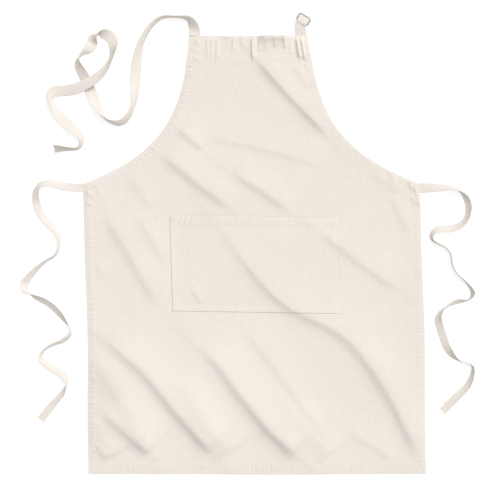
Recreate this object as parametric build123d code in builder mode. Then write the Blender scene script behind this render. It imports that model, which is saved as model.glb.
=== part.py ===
from build123d import *
from math import cos, radians, sin, tan
import os

# Artist smock apron, lying face up: +Z up, +Y towards the bib, +X towards the D-ring side.
# The origin is on the surface it lies on, under the middle of the apron without its strap and ties.

# ---- driving dimensions, in millimetres ----
body_length = 840.5          # bib edge to skirt edge
bib_top = 398.2              # height of the bib edge above the origin
bib_half_width = 114.0
skirt_half_width = 323.5
armhole_depth = 284.0        # bib edge down to the waist corner
armhole_pull_top = (129.2, 121.75)       # the armhole curve's two inner control points:
armhole_pull_low = (142.4, 216.6)        # distance out from the centre line, depth below the bib edge
lean = 16.0                  # the skirt lies this far to +X of the bib
lean_start = -10.7           # centre line of the bib edge

cloth = 0.6                  # one thickness of canvas
hem_stack = 2 * cloth        # a hem is the edge turned under twice
facing_depth = 51.0
side_hem_width = 13.0
armhole_hem_width = 12.0
bottom_hem_width = 19.5
hem_step = 0.3               # the side hem starts this far below the waist corner

pocket_width = 328.0
pocket_height = 183.0
pocket_centre_x = 4.5
pocket_mouth_y = 49.5
pocket_hem_depth = 15.0
pocket_turning = 8.0         # seam allowance pressed under
pocket_belly = 6.0           # how far the front stands off the skirt
belly_taper = 70.0           # degrees from upright of the belly's sides

strap_width = 21.0
strap_stack = 1.6            # folded tape, four plies pressed
tie_width = 15.0
tie_stack = 1.2
root_length = 30.0           # part of a strap sewn inside the facing
tie_root_length = 12.0
root_proud = 0.3             # a tie's root shows this much past the side hem
end_hem_length = 8.0         # turned end of a strap or tie
hump_height = 9.0            # middle of the strap where it passes over itself

ring_wire = 2.5
ring_inner_width = 22.0
ring_outer_height = 16.25
ring_bow_radius = 4.5
ring_bar_radius = 2.0
ring_gap = 0.1               # between the two rings
pivot_clearance = 0.05
tab_width = 20.0
tab_stack = 1.4
tab_turn = 32.0              # degrees clockwise that the rings lie turned
tab_centre_x = 89.0
tab_free_length = 22.1       # bib edge to the cross stitch
ring_bar_offset = 5.0        # cross stitch to the ring bars
loop_reach = 10.0            # cross stitch to the fold of the loop

thread = 0.5
thread_height = 0.3
seam_inset = 2.0             # a stitch line from the edge of what it holds
bar_tack_length = 9.0
bar_tack_width = 0.8

bottom_y = bib_top - body_length
waist_y = bib_top - armhole_depth
hem_top = hem_stack + cloth
os.makedirs("parts", exist_ok=True)


def lay_x(x, y):
    """Sideways place of a point of the flat pattern once the skirt leans."""
    return x + lean_start + lean * (bib_top - y) / body_length


def pattern(x, y):
    return (lay_x(x, y), y)


def armhole_points(side):
    """Control points of the armhole curve, from the bib edge to the waist corner."""
    return (
        pattern(side * bib_half_width, bib_top),
        pattern(side * armhole_pull_top[0], bib_top - armhole_pull_top[1]),
        pattern(side * armhole_pull_low[0], bib_top - armhole_pull_low[1]),
        pattern(side * skirt_half_width, waist_y),
    )


def save(part, name):
    part.label = name
    export_step(part, f"parts/{name}.step")


def strip(start, end, width):
    """A straight band between two points, as a face centred on its line."""
    with BuildSketch() as face:
        with BuildLine():
            Line(start, end)
        trace(line_width=width)
    return face.sketch


# ---- outline of the apron, shared by the panel and every hem ----
with BuildSketch() as outline:
    with BuildLine():
        Bezier(*armhole_points(-1))
        Bezier(*armhole_points(1))
        Polyline(pattern(-bib_half_width, bib_top), pattern(bib_half_width, bib_top))
        Polyline(
            pattern(-skirt_half_width, waist_y),
            pattern(-skirt_half_width, bottom_y),
            pattern(skirt_half_width, bottom_y),
            pattern(skirt_half_width, waist_y),
        )
    make_face()

with BuildPart() as main_panel:
    with BuildSketch(Plane.XY.offset(hem_stack)):
        add(outline.sketch)
    extrude(amount=cloth)
save(main_panel.part, "main_panel")

# ---- strap, tie and tab places ----
strap_x = pattern(-bib_half_width, bib_top)[0] + strap_width / 2
tie_y = waist_y - tie_width / 2

left_side_x = pattern(-skirt_half_width, tie_y)[0]
right_side_x = pattern(skirt_half_width, tie_y)[0]

with BuildSketch() as strap_root_face:
    with Locations((strap_x, bib_top - root_length / 2)):
        Rectangle(strap_width, root_length)
    add(outline.sketch, mode=Mode.INTERSECT)
with BuildPart() as neck_strap_root:
    add(strap_root_face.sketch)
    extrude(amount=hem_stack)
save(neck_strap_root.part, "neck_strap_root")

with BuildSketch() as tab_root_face:
    with Locations((tab_centre_x, bib_top - root_length / 2)):
        Rectangle(tab_width, root_length)
    add(outline.sketch, mode=Mode.INTERSECT)
with BuildPart() as ring_tab_root:
    add(tab_root_face.sketch)
    extrude(amount=hem_stack)
save(ring_tab_root.part, "ring_tab_root")

tie_root_faces = {}
for name, edge_x, side in (("left_tie_root", left_side_x, -1), ("right_tie_root", right_side_x, 1)):
    with BuildSketch() as tie_root_face:
        with Locations((edge_x + side * (root_proud - tie_root_length / 2), tie_y)):
            Rectangle(tie_root_length, tie_width)
    tie_root_faces[name] = tie_root_face.sketch
    with BuildPart() as tie_root:
        add(tie_root_face.sketch)
        extrude(amount=hem_stack)
    save(tie_root.part, name)

# ---- hems, turned under along the outline ----
facing_low = bib_top - facing_depth
bottom_hem_top = bottom_y + bottom_hem_width

with BuildPart() as bib_facing:
    with BuildSketch():
        with Locations((0, bib_top - facing_depth / 2)):
            Rectangle(4 * bib_half_width, facing_depth)
        add(outline.sketch, mode=Mode.INTERSECT)
        add(strap_root_face.sketch, mode=Mode.SUBTRACT)
        add(tab_root_face.sketch, mode=Mode.SUBTRACT)
    extrude(amount=hem_stack)
save(bib_facing.part, "bib_facing")

with BuildPart() as bottom_hem:
    with BuildSketch():
        with Locations((0, bottom_y + bottom_hem_width / 2)):
            Rectangle(3 * skirt_half_width, bottom_hem_width)
        add(outline.sketch, mode=Mode.INTERSECT)
    extrude(amount=hem_stack)
save(bottom_hem.part, "bottom_hem")

for word, side in (("left", -1), ("right", 1)):
    side_top = pattern(side * skirt_half_width, waist_y - hem_step)
    with BuildSketch() as side_face:
        add(strip(side_top, pattern(side * skirt_half_width, bottom_y), 2 * side_hem_width))
        add(outline.sketch, mode=Mode.INTERSECT)
        with Locations((0, bottom_y)):
            Rectangle(3 * skirt_half_width, 2 * bottom_hem_width, mode=Mode.SUBTRACT)
        add(tie_root_faces[f"{word}_tie_root"], mode=Mode.SUBTRACT)
    with BuildPart() as side_hem:
        add(side_face.sketch)
        extrude(amount=hem_stack)
    save(side_hem.part, f"{word}_side_hem")

    with BuildSketch() as armhole_face:
        with BuildLine():
            Bezier(*armhole_points(side))
        trace(line_width=2 * armhole_hem_width)
        add(outline.sketch, mode=Mode.INTERSECT)
        with Locations((0, bib_top)):
            Rectangle(4 * bib_half_width, 2 * facing_depth, mode=Mode.SUBTRACT)
        add(tie_root_faces[f"{word}_tie_root"], mode=Mode.SUBTRACT)
        add(side_face.sketch, mode=Mode.SUBTRACT)
    with BuildPart() as armhole_hem:
        add(armhole_face.sketch)
        extrude(amount=hem_stack)
    save(armhole_hem.part, f"{word}_armhole_hem")

# ---- pocket: a shallow bellied front, open along its upper edge ----
pocket_low = pocket_mouth_y - pocket_height
pocket_left = pocket_centre_x - pocket_width / 2
pocket_right = pocket_centre_x + pocket_width / 2
flange_low = hem_top + cloth
belly_top = flange_low + pocket_belly


def belly(inset, top):
    """A frustum twice the pocket's height, centred on its mouth; half of it is the pocket."""
    with BuildPart() as form:
        with BuildSketch(Plane.XY.offset(hem_top)):
            with Locations((pocket_centre_x, pocket_mouth_y)):
                Rectangle(
                    pocket_width - 2 * pocket_turning - 2 * inset,
                    2 * (pocket_height - pocket_turning - inset),
                )
        extrude(amount=top - hem_top, taper=belly_taper)
        split(bisect_by=Plane.XZ.offset(-pocket_mouth_y), keep=Keep.TOP)
    return form.part


with BuildPart() as pocket_panel:
    with BuildSketch(Plane.XY.offset(flange_low)):
        with Locations((pocket_centre_x, pocket_mouth_y - pocket_height / 2)):
            Rectangle(pocket_width, pocket_height)
    extrude(amount=cloth)
    add(belly(0, belly_top))
    add(belly(2 * cloth, belly_top - cloth), mode=Mode.SUBTRACT)
    with BuildSketch(Plane.XY.offset(hem_top)):
        with Locations((pocket_centre_x, pocket_mouth_y - pocket_height / 2)):
            Rectangle(pocket_width, pocket_height)
        with Locations((pocket_centre_x, pocket_mouth_y - (pocket_height - pocket_turning) / 2)):
            Rectangle(
                pocket_width - 2 * pocket_turning,
                pocket_height - pocket_turning,
                mode=Mode.SUBTRACT,
            )
    extrude(amount=cloth, mode=Mode.SUBTRACT)
save(pocket_panel.part, "pocket_panel")

with BuildPart() as pocket_top_hem:
    add(belly(2.2 * cloth, belly_top - cloth))
    add(belly(4.2 * cloth, belly_top - 2 * cloth), mode=Mode.SUBTRACT)
    split(bisect_by=Plane.XZ.offset(pocket_hem_depth - pocket_mouth_y), keep=Keep.BOTTOM)
save(pocket_top_hem.part, "pocket_top_hem")

for name, width, height, x, y in (
    ("pocket_left_turning", pocket_turning, pocket_height, pocket_left + pocket_turning / 2,
     pocket_mouth_y - pocket_height / 2),
    ("pocket_right_turning", pocket_turning, pocket_height, pocket_right - pocket_turning / 2,
     pocket_mouth_y - pocket_height / 2),
    ("pocket_bottom_turning", pocket_width - 2 * pocket_turning, pocket_turning, pocket_centre_x,
     pocket_low + pocket_turning / 2),
):
    with BuildPart() as turning:
        with BuildSketch(Plane.XY.offset(hem_top)):
            with Locations((x, y)):
                Rectangle(width, height)
        extrude(amount=cloth)
    save(turning.part, name)

# ---- ring tab and the two D-rings, in a frame turned with the rings ----
# s runs from the cross stitch towards the rings' bows.
stitch_y = bib_top + tab_free_length
ring_frame = Plane(
    origin=(tab_centre_x - 0.5, stitch_y, 0),
    x_dir=(cos(radians(tab_turn)), -sin(radians(tab_turn)), 0),
    z_dir=(0, 0, 1),
)
side_frame = Plane(
    origin=(tab_centre_x - 0.5, stitch_y, 0),
    x_dir=(sin(radians(tab_turn)), cos(radians(tab_turn)), 0),
    z_dir=(cos(radians(tab_turn)), -sin(radians(tab_turn)), 0),
)
lower_bar_z = cloth + 0.1 + pivot_clearance + ring_wire / 2
upper_bar_z = lower_bar_z + ring_wire + ring_gap
loop_top = upper_bar_z + ring_wire / 2 + pivot_clearance + cloth + 0.1
loop_middle = (lower_bar_z + upper_bar_z) / 2
bore_radius = ring_wire / 2 + pivot_clearance

with BuildPart() as ring_tab:
    # the free tab, rising from the bib edge to the cross stitch
    with BuildSketch(Plane.YZ):
        with BuildLine():
            Polyline(
                (bib_top, 0),
                (stitch_y + 6, loop_middle - tab_stack / 2),
                (stitch_y + 6, loop_middle + tab_stack / 2),
                (bib_top, hem_stack),
                close=True,
            )
        make_face()
    extrude(amount=2 * tab_centre_x)
    with BuildSketch():
        with BuildLine():
            Polyline(
                (tab_centre_x - tab_width / 2, bib_top),
                (tab_centre_x - tab_width / 2, bib_top + 0.6 * tab_free_length),
                (tab_centre_x - 0.4 * tab_width, stitch_y + 4.2),
                (tab_centre_x + 0.39 * tab_width, stitch_y - 5.2),
                (tab_centre_x + tab_width / 2, bib_top + 0.5 * tab_free_length),
                (tab_centre_x + tab_width / 2, bib_top),
                close=True,
            )
        make_face()
    extrude(amount=3 * loop_top, mode=Mode.INTERSECT)
    # the loop round both ring bars, seen from its side
    with BuildSketch(side_frame):
        with BuildLine():
            Polyline(
                (-3, loop_middle - tab_stack / 2),
                (0.5, loop_middle - tab_stack / 2),
                (ring_bar_offset - 2, 0.05),
                (ring_bar_offset + 2, 0.05),
                (loop_reach, loop_middle - tab_stack / 2),
            )
            ThreePointArc(
                (loop_reach, loop_middle - tab_stack / 2),
                (loop_reach + tab_stack / 2, loop_middle),
                (loop_reach, loop_middle + tab_stack / 2),
            )
            Polyline(
                (loop_reach, loop_middle + tab_stack / 2),
                (ring_bar_offset + 2, loop_top),
                (ring_bar_offset - 2, loop_top),
                (0.5, loop_middle + tab_stack / 2),
                (-3, loop_middle + tab_stack / 2),
                (-3, loop_middle - tab_stack / 2),
            )
        make_face()
    extrude(amount=tab_width / 2, both=True)
    with BuildSketch(side_frame):
        with Locations((ring_bar_offset, loop_middle)):
            Rectangle(2 * bore_radius, upper_bar_z - lower_bar_z)
        with Locations((ring_bar_offset, lower_bar_z), (ring_bar_offset, upper_bar_z)):
            Circle(bore_radius)
    extrude(amount=tab_width, both=True, mode=Mode.SUBTRACT)
save(ring_tab.part, "ring_tab")


# ---- D-rings, each a closed bend of wire, one lying on the other ----
ring_half = (ring_inner_width + ring_wire) / 2
bow_s = ring_bar_offset + ring_outer_height - ring_wire

for name, bar_z in (("lower_d_ring", lower_bar_z), ("upper_d_ring", upper_bar_z)):
    ring_plane = ring_frame.offset(bar_z)
    with BuildPart() as d_ring:
        with BuildLine(ring_plane) as ring_path:
            FilletPolyline(
                (-ring_half, ring_bar_offset),
                (ring_half, ring_bar_offset),
                (ring_half, bow_s),
                (-ring_half, bow_s),
                radius=(ring_bar_radius, ring_bar_radius, ring_bow_radius, ring_bow_radius),
                close=True,
            )
        with BuildSketch(Plane(ring_path.line @ 0, z_dir=ring_path.line % 0)):
            Circle(ring_wire / 2)
        sweep()
    save(d_ring.part, name)

# ---- thread, one continuous run for each seam ----
def frame_line(x, y, width, height):
    """A stitched rectangle, as a face one thread wide."""
    with BuildSketch() as face:
        with Locations((x, y)):
            Rectangle(width + thread, height + thread)
            Rectangle(width - thread, height - thread, mode=Mode.SUBTRACT)
    return face.sketch


def sew(faces, level, name):
    with BuildPart() as run:
        with BuildSketch(Plane.XY.offset(level)):
            for face in faces:
                add(face)
        extrude(amount=thread_height)
    save(run.part, name)


def inside(face):
    """The part of a face that lies on the apron, clear of its edge."""
    with BuildSketch() as kept:
        add(face)
        add(outline.sketch, mode=Mode.INTERSECT)
    return kept.sketch


facing_seam_y = facing_low + seam_inset
bottom_seam_y = bottom_hem_top - seam_inset
wide = 1.5 * skirt_half_width
sew([inside(strip((-wide, facing_seam_y), (wide, facing_seam_y), thread))], hem_top, "facing_stitching")
sew([inside(strip((-wide, bottom_seam_y), (wide, bottom_seam_y), thread))], hem_top, "bottom_hem_stitching")

side_seams = []
armhole_seams = []
for side in (-1, 1):
    seam_x = skirt_half_width - side_hem_width + seam_inset
    side_seams.append(
        strip(pattern(side * seam_x, waist_y - 20), pattern(side * seam_x, bottom_seam_y + 1), thread)
    )
    seam_depth = armhole_hem_width - seam_inset
    with BuildSketch() as armhole_seam:
        with BuildLine():
            Bezier(*armhole_points(side))
        trace(line_width=2 * seam_depth + thread)
        with BuildLine():
            Bezier(*armhole_points(side))
        trace(line_width=2 * seam_depth - thread, mode=Mode.SUBTRACT)
        add(outline.sketch, mode=Mode.INTERSECT)
        with Locations((0, bib_top)):
            Rectangle(4 * bib_half_width, 2 * (facing_depth - seam_inset + 1), mode=Mode.SUBTRACT)
        with Locations((0, waist_y)):
            Rectangle(4 * skirt_half_width, 2 * tie_width - 8, mode=Mode.SUBTRACT)
    armhole_seams.append(armhole_seam.sketch)
sew(side_seams, hem_top, "side_hem_stitching")
sew(armhole_seams, hem_top, "armhole_stitching")

pocket_seam = pocket_turning / 2
left_seam_x = pocket_left + pocket_seam
right_seam_x = pocket_right - pocket_seam
low_seam_y = pocket_low + pocket_seam
with BuildSketch() as pocket_edge_face:
    with BuildLine():
        Polyline(
            (left_seam_x, pocket_mouth_y - 1),
            (left_seam_x, low_seam_y),
            (right_seam_x, low_seam_y),
            (right_seam_x, pocket_mouth_y - 1),
        )
    trace(line_width=thread)
sew([pocket_edge_face.sketch], flange_low + cloth, "pocket_edge_stitching")

belly_slope = (belly_top - hem_top) * tan(radians(belly_taper))
flat_half_width = pocket_width / 2 - pocket_turning - belly_slope - 2
hem_seam_y = pocket_mouth_y - pocket_hem_depth + seam_inset
sew(
    [
        strip(
            (pocket_centre_x - flat_half_width, hem_seam_y),
            (pocket_centre_x + flat_half_width, hem_seam_y),
            thread,
        )
    ],
    belly_top,
    "pocket_hem_stitching",
)
with BuildPart() as pocket_bar_tacks:
    with BuildSketch(Plane.XY.offset(flange_low + cloth)):
        with Locations(
            (left_seam_x, pocket_mouth_y - bar_tack_length / 2 - 2),
            (right_seam_x, pocket_mouth_y - bar_tack_length / 2 - 2),
        ):
            with Locations((-bar_tack_width, 0), (bar_tack_width, 0)):
                Rectangle(bar_tack_width, bar_tack_length)
    extrude(amount=thread_height)
save(pocket_bar_tacks.part, "pocket_bar_tacks")

root_y = bib_top - root_length / 2
sew([frame_line(strap_x + 1, root_y, strap_width - 7, root_length - 8)], hem_top, "neck_strap_box_stitch")
sew([frame_line(tab_centre_x, root_y, tab_width - 6, root_length - 8)], hem_top, "ring_tab_box_stitch")
sew(
    [
        frame_line(left_side_x + tie_root_length / 2 + 1, tie_y, tie_root_length - 5, tie_width - 5),
        frame_line(right_side_x - tie_root_length / 2 - 1, tie_y, tie_root_length - 5, tie_width - 5),
    ],
    hem_top,
    "tie_box_stitches",
)

with BuildPart() as ring_tab_cross_stitch:
    with BuildSketch(ring_frame.offset(loop_middle + tab_stack / 2)):
        Rectangle(0.72 * tab_width, thread)
    extrude(amount=thread_height)
save(ring_tab_cross_stitch.part, "ring_tab_cross_stitch")

# ---- neck strap and waist ties: flat tapes lying loose beside the apron ----
strap_start = strap_stack / 2
strap_low = strap_start + 0.5      # the tape rolls a little past its hump
tie_low = tie_stack / 2
neck_strap_route = [
    (strap_x, bib_top, strap_start),
    (strap_x, 426, strap_start),
    (-146, 434, strap_low),
    (-186, 432, strap_low),
    (-219, 384, strap_low),
    (-228, 324, strap_low),
    (-227, 261, strap_low),
    (-253, 225, strap_low),
    (-288, 235, strap_low),
    (-309, 278, strap_low),
    (-323, 315, strap_low),
    (-343, 351, strap_low),
    (-314, 373, strap_low),
    (-307, 399, strap_low),
    (-289, 404, strap_low),
    (-270, 392, strap_low),
    (-268, 360, strap_low),
    (-289, 323, hump_height),
    (-333, 298, hump_height),
    (-360, 293, strap_low),
    (-389, 292, strap_low),
    (-394, 272, strap_low),
    (-376, 246, strap_low),
    (-353, 224, strap_low),
    (-329, 202, strap_low),
    (-335, 181, strap_low),
    (-359, 183, strap_low),
    (-383, 182, strap_low),
]
left_tie_route = [
    (left_side_x - root_proud, tie_y, tie_low),
    (-361, tie_y, tie_low),
    (-396, 120, tie_low),
    (-420, 107, tie_low),
    (-419, 71, tie_low),
    (-399, 42, tie_low),
    (-372, 17, tie_low),
    (-374, -21, tie_low),
    (-403, -36, tie_low),
    (-431, -63, tie_low),
    (-446, -84, tie_low),
    (-424, -100, tie_low),
    (-392, -115, tie_low),
    (-367, -140, tie_low),
    (-347, -168, tie_low),
    (-361, -186, tie_low),
    (-397, -198, tie_low),
    (-413, -219, tie_low),
    (-390, -238, tie_low),
    (-359, -255, tie_low),
    (-359, -280, tie_low),
    (-387, -309, tie_low),
    (-410, -338, tie_low),
]
right_tie_route = [
    (right_side_x + root_proud, tie_y, tie_low),
    (346, tie_y, tie_low),
    (388, 108, tie_low),
    (411, 84, tie_low),
    (411, 48, tie_low),
    (386, 27, tie_low),
    (348, 29, tie_low),
    (335, 7, tie_low),
    (378, -10, tie_low),
    (380, -50, tie_low),
    (411, -77, tie_low),
    (422, -96, tie_low),
    (411, -111, tie_low),
    (382, -111, tie_low),
    (349, -138, tie_low),
    (359, -169, tie_low),
    (371, -207, tie_low),
    (396, -227, tie_low),
    (424, -231, tie_low),
    (413, -271, tie_low),
    (386, -296, tie_low),
    (361, -322, tie_low),
]


def corner_radii(route):
    """Largest tangent arc that the two runs at each corner leave room for."""
    points = [Vector(*point) for point in route]
    radii = []
    for before, here, after in zip(points, points[1:], points[2:]):
        turn = radians((here - before).get_angle(after - here))
        shorter = min((here - before).length, (after - here).length)
        radii.append(0.45 * shorter / tan(turn / 2))
    return radii


for name, route, width, stack in (
    ("neck_strap", neck_strap_route, strap_width, strap_stack),
    ("left_waist_tie", left_tie_route, tie_width, tie_stack),
    ("right_waist_tie", right_tie_route, tie_width, tie_stack),
):
    radii = corner_radii(route)
    with BuildPart() as tape:
        with BuildLine() as tape_path:
            FilletPolyline(*route, radius=radii)
        heading = tape_path.line % 0
        with BuildSketch(Plane(tape_path.line @ 0, x_dir=Vector(0, 0, 1).cross(heading), z_dir=heading)):
            Rectangle(width, stack)
        sweep()
    length = sum(edge.length for edge in tape_path.edges())
    print(name, "length", round(length), "volume over section x length",
          round(tape.part.volume / (length * width * stack), 4))
    print("  radii", [round(radius) for radius in radii])
    save(tape.part, name)
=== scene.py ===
from math import cos, pi, radians, sin

import bmesh
import bpy
import numpy as np
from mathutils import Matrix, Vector


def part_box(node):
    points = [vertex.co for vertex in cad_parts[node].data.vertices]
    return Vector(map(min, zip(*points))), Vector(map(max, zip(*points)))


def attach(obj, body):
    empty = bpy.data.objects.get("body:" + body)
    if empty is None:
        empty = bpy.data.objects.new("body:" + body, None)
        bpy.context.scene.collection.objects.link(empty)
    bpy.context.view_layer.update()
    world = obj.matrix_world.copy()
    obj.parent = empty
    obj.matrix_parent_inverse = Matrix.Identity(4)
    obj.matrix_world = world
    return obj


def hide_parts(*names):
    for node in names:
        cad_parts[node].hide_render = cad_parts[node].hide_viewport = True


# Artist smock apron in washed cream canvas, lying face up on a pale floor.
# Metres, +Z up, +Y towards the bib. Every place is worked out from the CAD frame.

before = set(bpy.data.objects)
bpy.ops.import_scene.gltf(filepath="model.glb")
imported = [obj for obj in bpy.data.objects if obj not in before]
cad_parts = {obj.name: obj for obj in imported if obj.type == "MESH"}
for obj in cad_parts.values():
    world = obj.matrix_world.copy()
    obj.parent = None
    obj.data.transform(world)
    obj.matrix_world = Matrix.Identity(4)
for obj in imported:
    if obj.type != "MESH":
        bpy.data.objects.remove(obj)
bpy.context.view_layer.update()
MM = 0.001

# ---- what the flat pattern and the CAD nodes say ----
panel_low, panel_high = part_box("main_panel")
bib_top = panel_high.y
bottom_y = panel_low.y
body_length = bib_top - bottom_y
armhole_depth = 0.284
waist_y = bib_top - armhole_depth
bib_half_width = 0.114
skirt_half_width = 0.3235
armhole_pull_top = (0.1292, 0.12175)
armhole_pull_low = (0.1424, 0.2166)
lean = 0.016                 # the skirt leans this far to the right over its length
lean_start = -0.0107
sway = 3.4 * MM              # and its sides sway this much more about sway_y
sway_y = -0.18
sway_reach = 0.12

ply = 0.7 * MM
hem_height = 1.9 * MM
facing_depth = 0.051
side_hem_width = 0.013
armhole_hem_width = 0.012
bottom_hem_width = 0.0195
stitch_inset = 2 * MM
lip = 7 * MM                 # a hem's upper cloth runs on this far past its depth, where its ripples die away
tuck = 2 * MM                # the panel starts this far under that lip
point_spacing = 0.9 * MM     # along a straight edge or seam

strap_width = 0.021
tie_width = 0.015
strap_stack = 1.4 * MM
tie_stack = 1.1 * MM


def lay_x(x, y):
    """Sideways place of a point of the flat pattern once the skirt leans and sways."""
    return x + lean_start + lean * (bib_top - y) / body_length + sway * hump(y - sway_y, sway_reach)


# ---- camera, straight above the apron ----
view_centre = (-0.0083, -0.0127)
view_width = 0.96
camera_height = 2.4
sensor_width_mm = 36
camera_data = bpy.data.cameras.new("camera")
camera_data.sensor_width = sensor_width_mm
camera_data.lens = sensor_width_mm * camera_height / view_width
camera = bpy.data.objects.new("camera", camera_data)
camera.location = (*view_centre, camera_height)
bpy.context.scene.collection.objects.link(camera)
bpy.context.scene.camera = camera
bpy.context.scene.view_settings.view_transform = "Standard"


# ---- mesh makers ----
crease_angle = radians(60)   # faces that meet at more than this keep a sharp edge
spline_steps = 24            # points that a smooth line gets between two control points


def link(name, mesh, smooth=True):
    piece = bpy.data.objects.new(name, mesh)
    bpy.context.scene.collection.objects.link(piece)
    for polygon in mesh.polygons:
        polygon.use_smooth = smooth
    mesh.set_sharp_from_angle(angle=crease_angle)
    return piece


def finished(mesh):
    """Faces turned outwards."""
    shape = bmesh.new()
    shape.from_mesh(mesh)
    bmesh.ops.recalc_face_normals(shape, faces=shape.faces)
    shape.to_mesh(mesh)
    shape.free()
    return mesh


def lay_uv(mesh, uv):
    """UV in metres along the cloth, one pair for each vertex."""
    layer = mesh.uv_layers.new(name="cloth")
    corners = np.zeros(len(mesh.loops), int)
    mesh.loops.foreach_get("vertex_index", corners)
    layer.data.foreach_set("uv", uv[corners].astype(np.float32).ravel())


def tube(name, rings, along, around):
    """A closed skin over rings of points, shape (rings, points round, 3), with a face on each end."""
    count, size = rings.shape[:2]
    ids = np.arange(count * size).reshape(count, size)
    a, b = ids[:-1], ids[1:]
    quads = np.stack([a, np.roll(a, -1, 1), np.roll(b, -1, 1), b], -1).reshape(-1, 4)
    faces = quads.tolist() + [ids[0].tolist(), ids[-1][::-1].tolist()]
    mesh = bpy.data.meshes.new(name)
    mesh.from_pydata(rings.reshape(-1, 3).tolist(), [], faces)
    uv = np.stack(np.broadcast_arrays(along[:, None], around[None, :]), -1).reshape(-1, 2)
    lay_uv(mesh, uv)
    return link(name, finished(mesh))


def grid_normals(top):
    """Unit normals of a grid of points."""
    normal = np.cross(np.gradient(top, axis=1), np.gradient(top, axis=0))
    normal /= np.linalg.norm(normal, axis=-1, keepdims=True)
    return normal * np.sign(normal[..., 2:3])


def shell(name, top, thickness, uv):
    """Cloth of one thickness under a grid of points of its upper face, shape (rows, columns, 3)."""
    rows, columns = top.shape[:2]
    under = top - grid_normals(top) * thickness
    points = np.concatenate([top.reshape(-1, 3), under.reshape(-1, 3)])
    ids = np.arange(rows * columns).reshape(rows, columns)
    face = np.stack([ids[:-1, :-1], ids[:-1, 1:], ids[1:, 1:], ids[1:, :-1]], -1).reshape(-1, 4)
    rim = np.concatenate([ids[0, :-1], ids[:-1, -1], ids[-1, :0:-1], ids[:0:-1, 0]])
    step = np.roll(rim, -1)
    drop = rows * columns
    sides = np.stack([rim, rim + drop, step + drop, step], -1)
    mesh = bpy.data.meshes.new(name)
    mesh.from_pydata(points.tolist(), [], np.concatenate([face, face[:, ::-1] + drop, sides]).tolist())
    lay_uv(mesh, np.concatenate([uv.reshape(-1, 2)] * 2))
    return link(name, finished(mesh))


def read_spline(points):
    """Points along the smooth line that a list of control points steers."""
    curve = bpy.data.curves.new("guide", "CURVE")
    curve.dimensions = "3D"
    spline = curve.splines.new("NURBS")
    spline.points.add(len(points) - 1)
    for control, place in zip(spline.points, points):
        control.co = (*place, 1)
    spline.order_u = 3
    spline.use_endpoint_u = True
    spline.resolution_u = spline_steps
    guide = bpy.data.objects.new("guide", curve)
    mesh = bpy.data.meshes.new_from_object(guide)
    line = np.array([vertex.co for vertex in mesh.vertices])
    bpy.data.objects.remove(guide)
    bpy.data.curves.remove(curve)
    bpy.data.meshes.remove(mesh)
    return line


def travelled(line):
    """Distance from the start of a line to each of its points."""
    steps = np.linalg.norm(np.diff(line, axis=0), axis=1)
    return np.concatenate([[0], np.cumsum(steps)])


def at_height(place, z):
    """Points from places in plan and a height for each."""
    return np.concatenate([place, z[..., None]], -1)


def unit(vectors):
    return vectors / np.maximum(np.linalg.norm(vectors, axis=-1, keepdims=True), 1e-12)


def smooth_step(value):
    value = np.clip(value, 0, 1)
    return value * value * (3 - 2 * value)


def hump(value, reach):
    """1 where the value is 0, falling away on both sides over the reach."""
    return np.exp(-(value / reach) ** 2)


# ---- neck strap and waist ties ----
# Each row is a route point: x, y, roll of the tape in degrees (0 flat, 90 on edge, 180 other face up), lift.
strap_root_low, strap_root_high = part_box("neck_strap_root")
left_root_low, left_root_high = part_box("left_tie_root")
right_root_low, right_root_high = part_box("right_tie_root")
strap_exit = ((strap_root_low.x + strap_root_high.x) / 2, bib_top)
left_exit = (left_root_low.x, (left_root_low.y + left_root_high.y) / 2)
right_exit = (right_root_high.x, (right_root_low.y + right_root_high.y) / 2)

neck_strap_route = [
    (*strap_exit, -12, 0),
    (strap_exit[0], 0.426, 34, 0),
    (-0.146, 0.434, 108, 0),
    (-0.186, 0.432, 74, 0),
    (-0.219, 0.384, 62, 0),
    (-0.228, 0.324, 12, 0),
    (-0.227, 0.261, 78, 0),
    (-0.253, 0.225, 48, 0),
    (-0.288, 0.235, 96, 0),
    (-0.309, 0.278, 160, 0),
    (-0.323, 0.315, 190, 0),
    (-0.343, 0.351, 232, 0),
    (-0.314, 0.373, 330, 0),
    (-0.307, 0.399, 400, 0),
    (-0.289, 0.404, 516, 0),
    (-0.270, 0.392, 548, 0),
    (-0.268, 0.360, 468, 0.002),
    (-0.289, 0.323, 505, 0.0055),
    (-0.333, 0.298, 540, 0.0062),
    (-0.360, 0.293, 545, 0),
    (-0.389, 0.292, 552, 0),
    (-0.394, 0.272, 618, 0),
    (-0.376, 0.246, 566, 0),
    (-0.353, 0.224, 562, 0),
    (-0.329, 0.202, 602, 0),
    (-0.335, 0.181, 626, 0),
    (-0.359, 0.183, 612, 0),
    (-0.383, 0.182, 585, 0),
]
left_tie_route = [
    (*left_exit, 0, 0),
    (-0.361, left_exit[1], -15, 0),
    (-0.396, 0.120, -42, 0),
    (-0.420, 0.107, -44, 0),
    (-0.419, 0.071, 10, 0),
    (-0.399, 0.042, 38, 0),
    (-0.372, 0.017, 64, 0),
    (-0.374, -0.021, 84, 0),
    (-0.403, -0.036, 72, 0),
    (-0.431, -0.063, 36, 0),
    (-0.446, -0.084, 6, 0),
    (-0.424, -0.100, 130, 0),
    (-0.392, -0.115, 148, 0),
    (-0.367, -0.140, 140, 0),
    (-0.347, -0.168, 80, 0),
    (-0.361, -0.186, 45, 0),
    (-0.397, -0.198, 80, 0),
    (-0.413, -0.219, 72, 0),
    (-0.390, -0.238, 35, 0),
    (-0.359, -0.255, 25, 0),
    (-0.359, -0.280, 130, 0),
    (-0.387, -0.309, 157, 0),
    (-0.410, -0.338, 170, 0),
]
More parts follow.
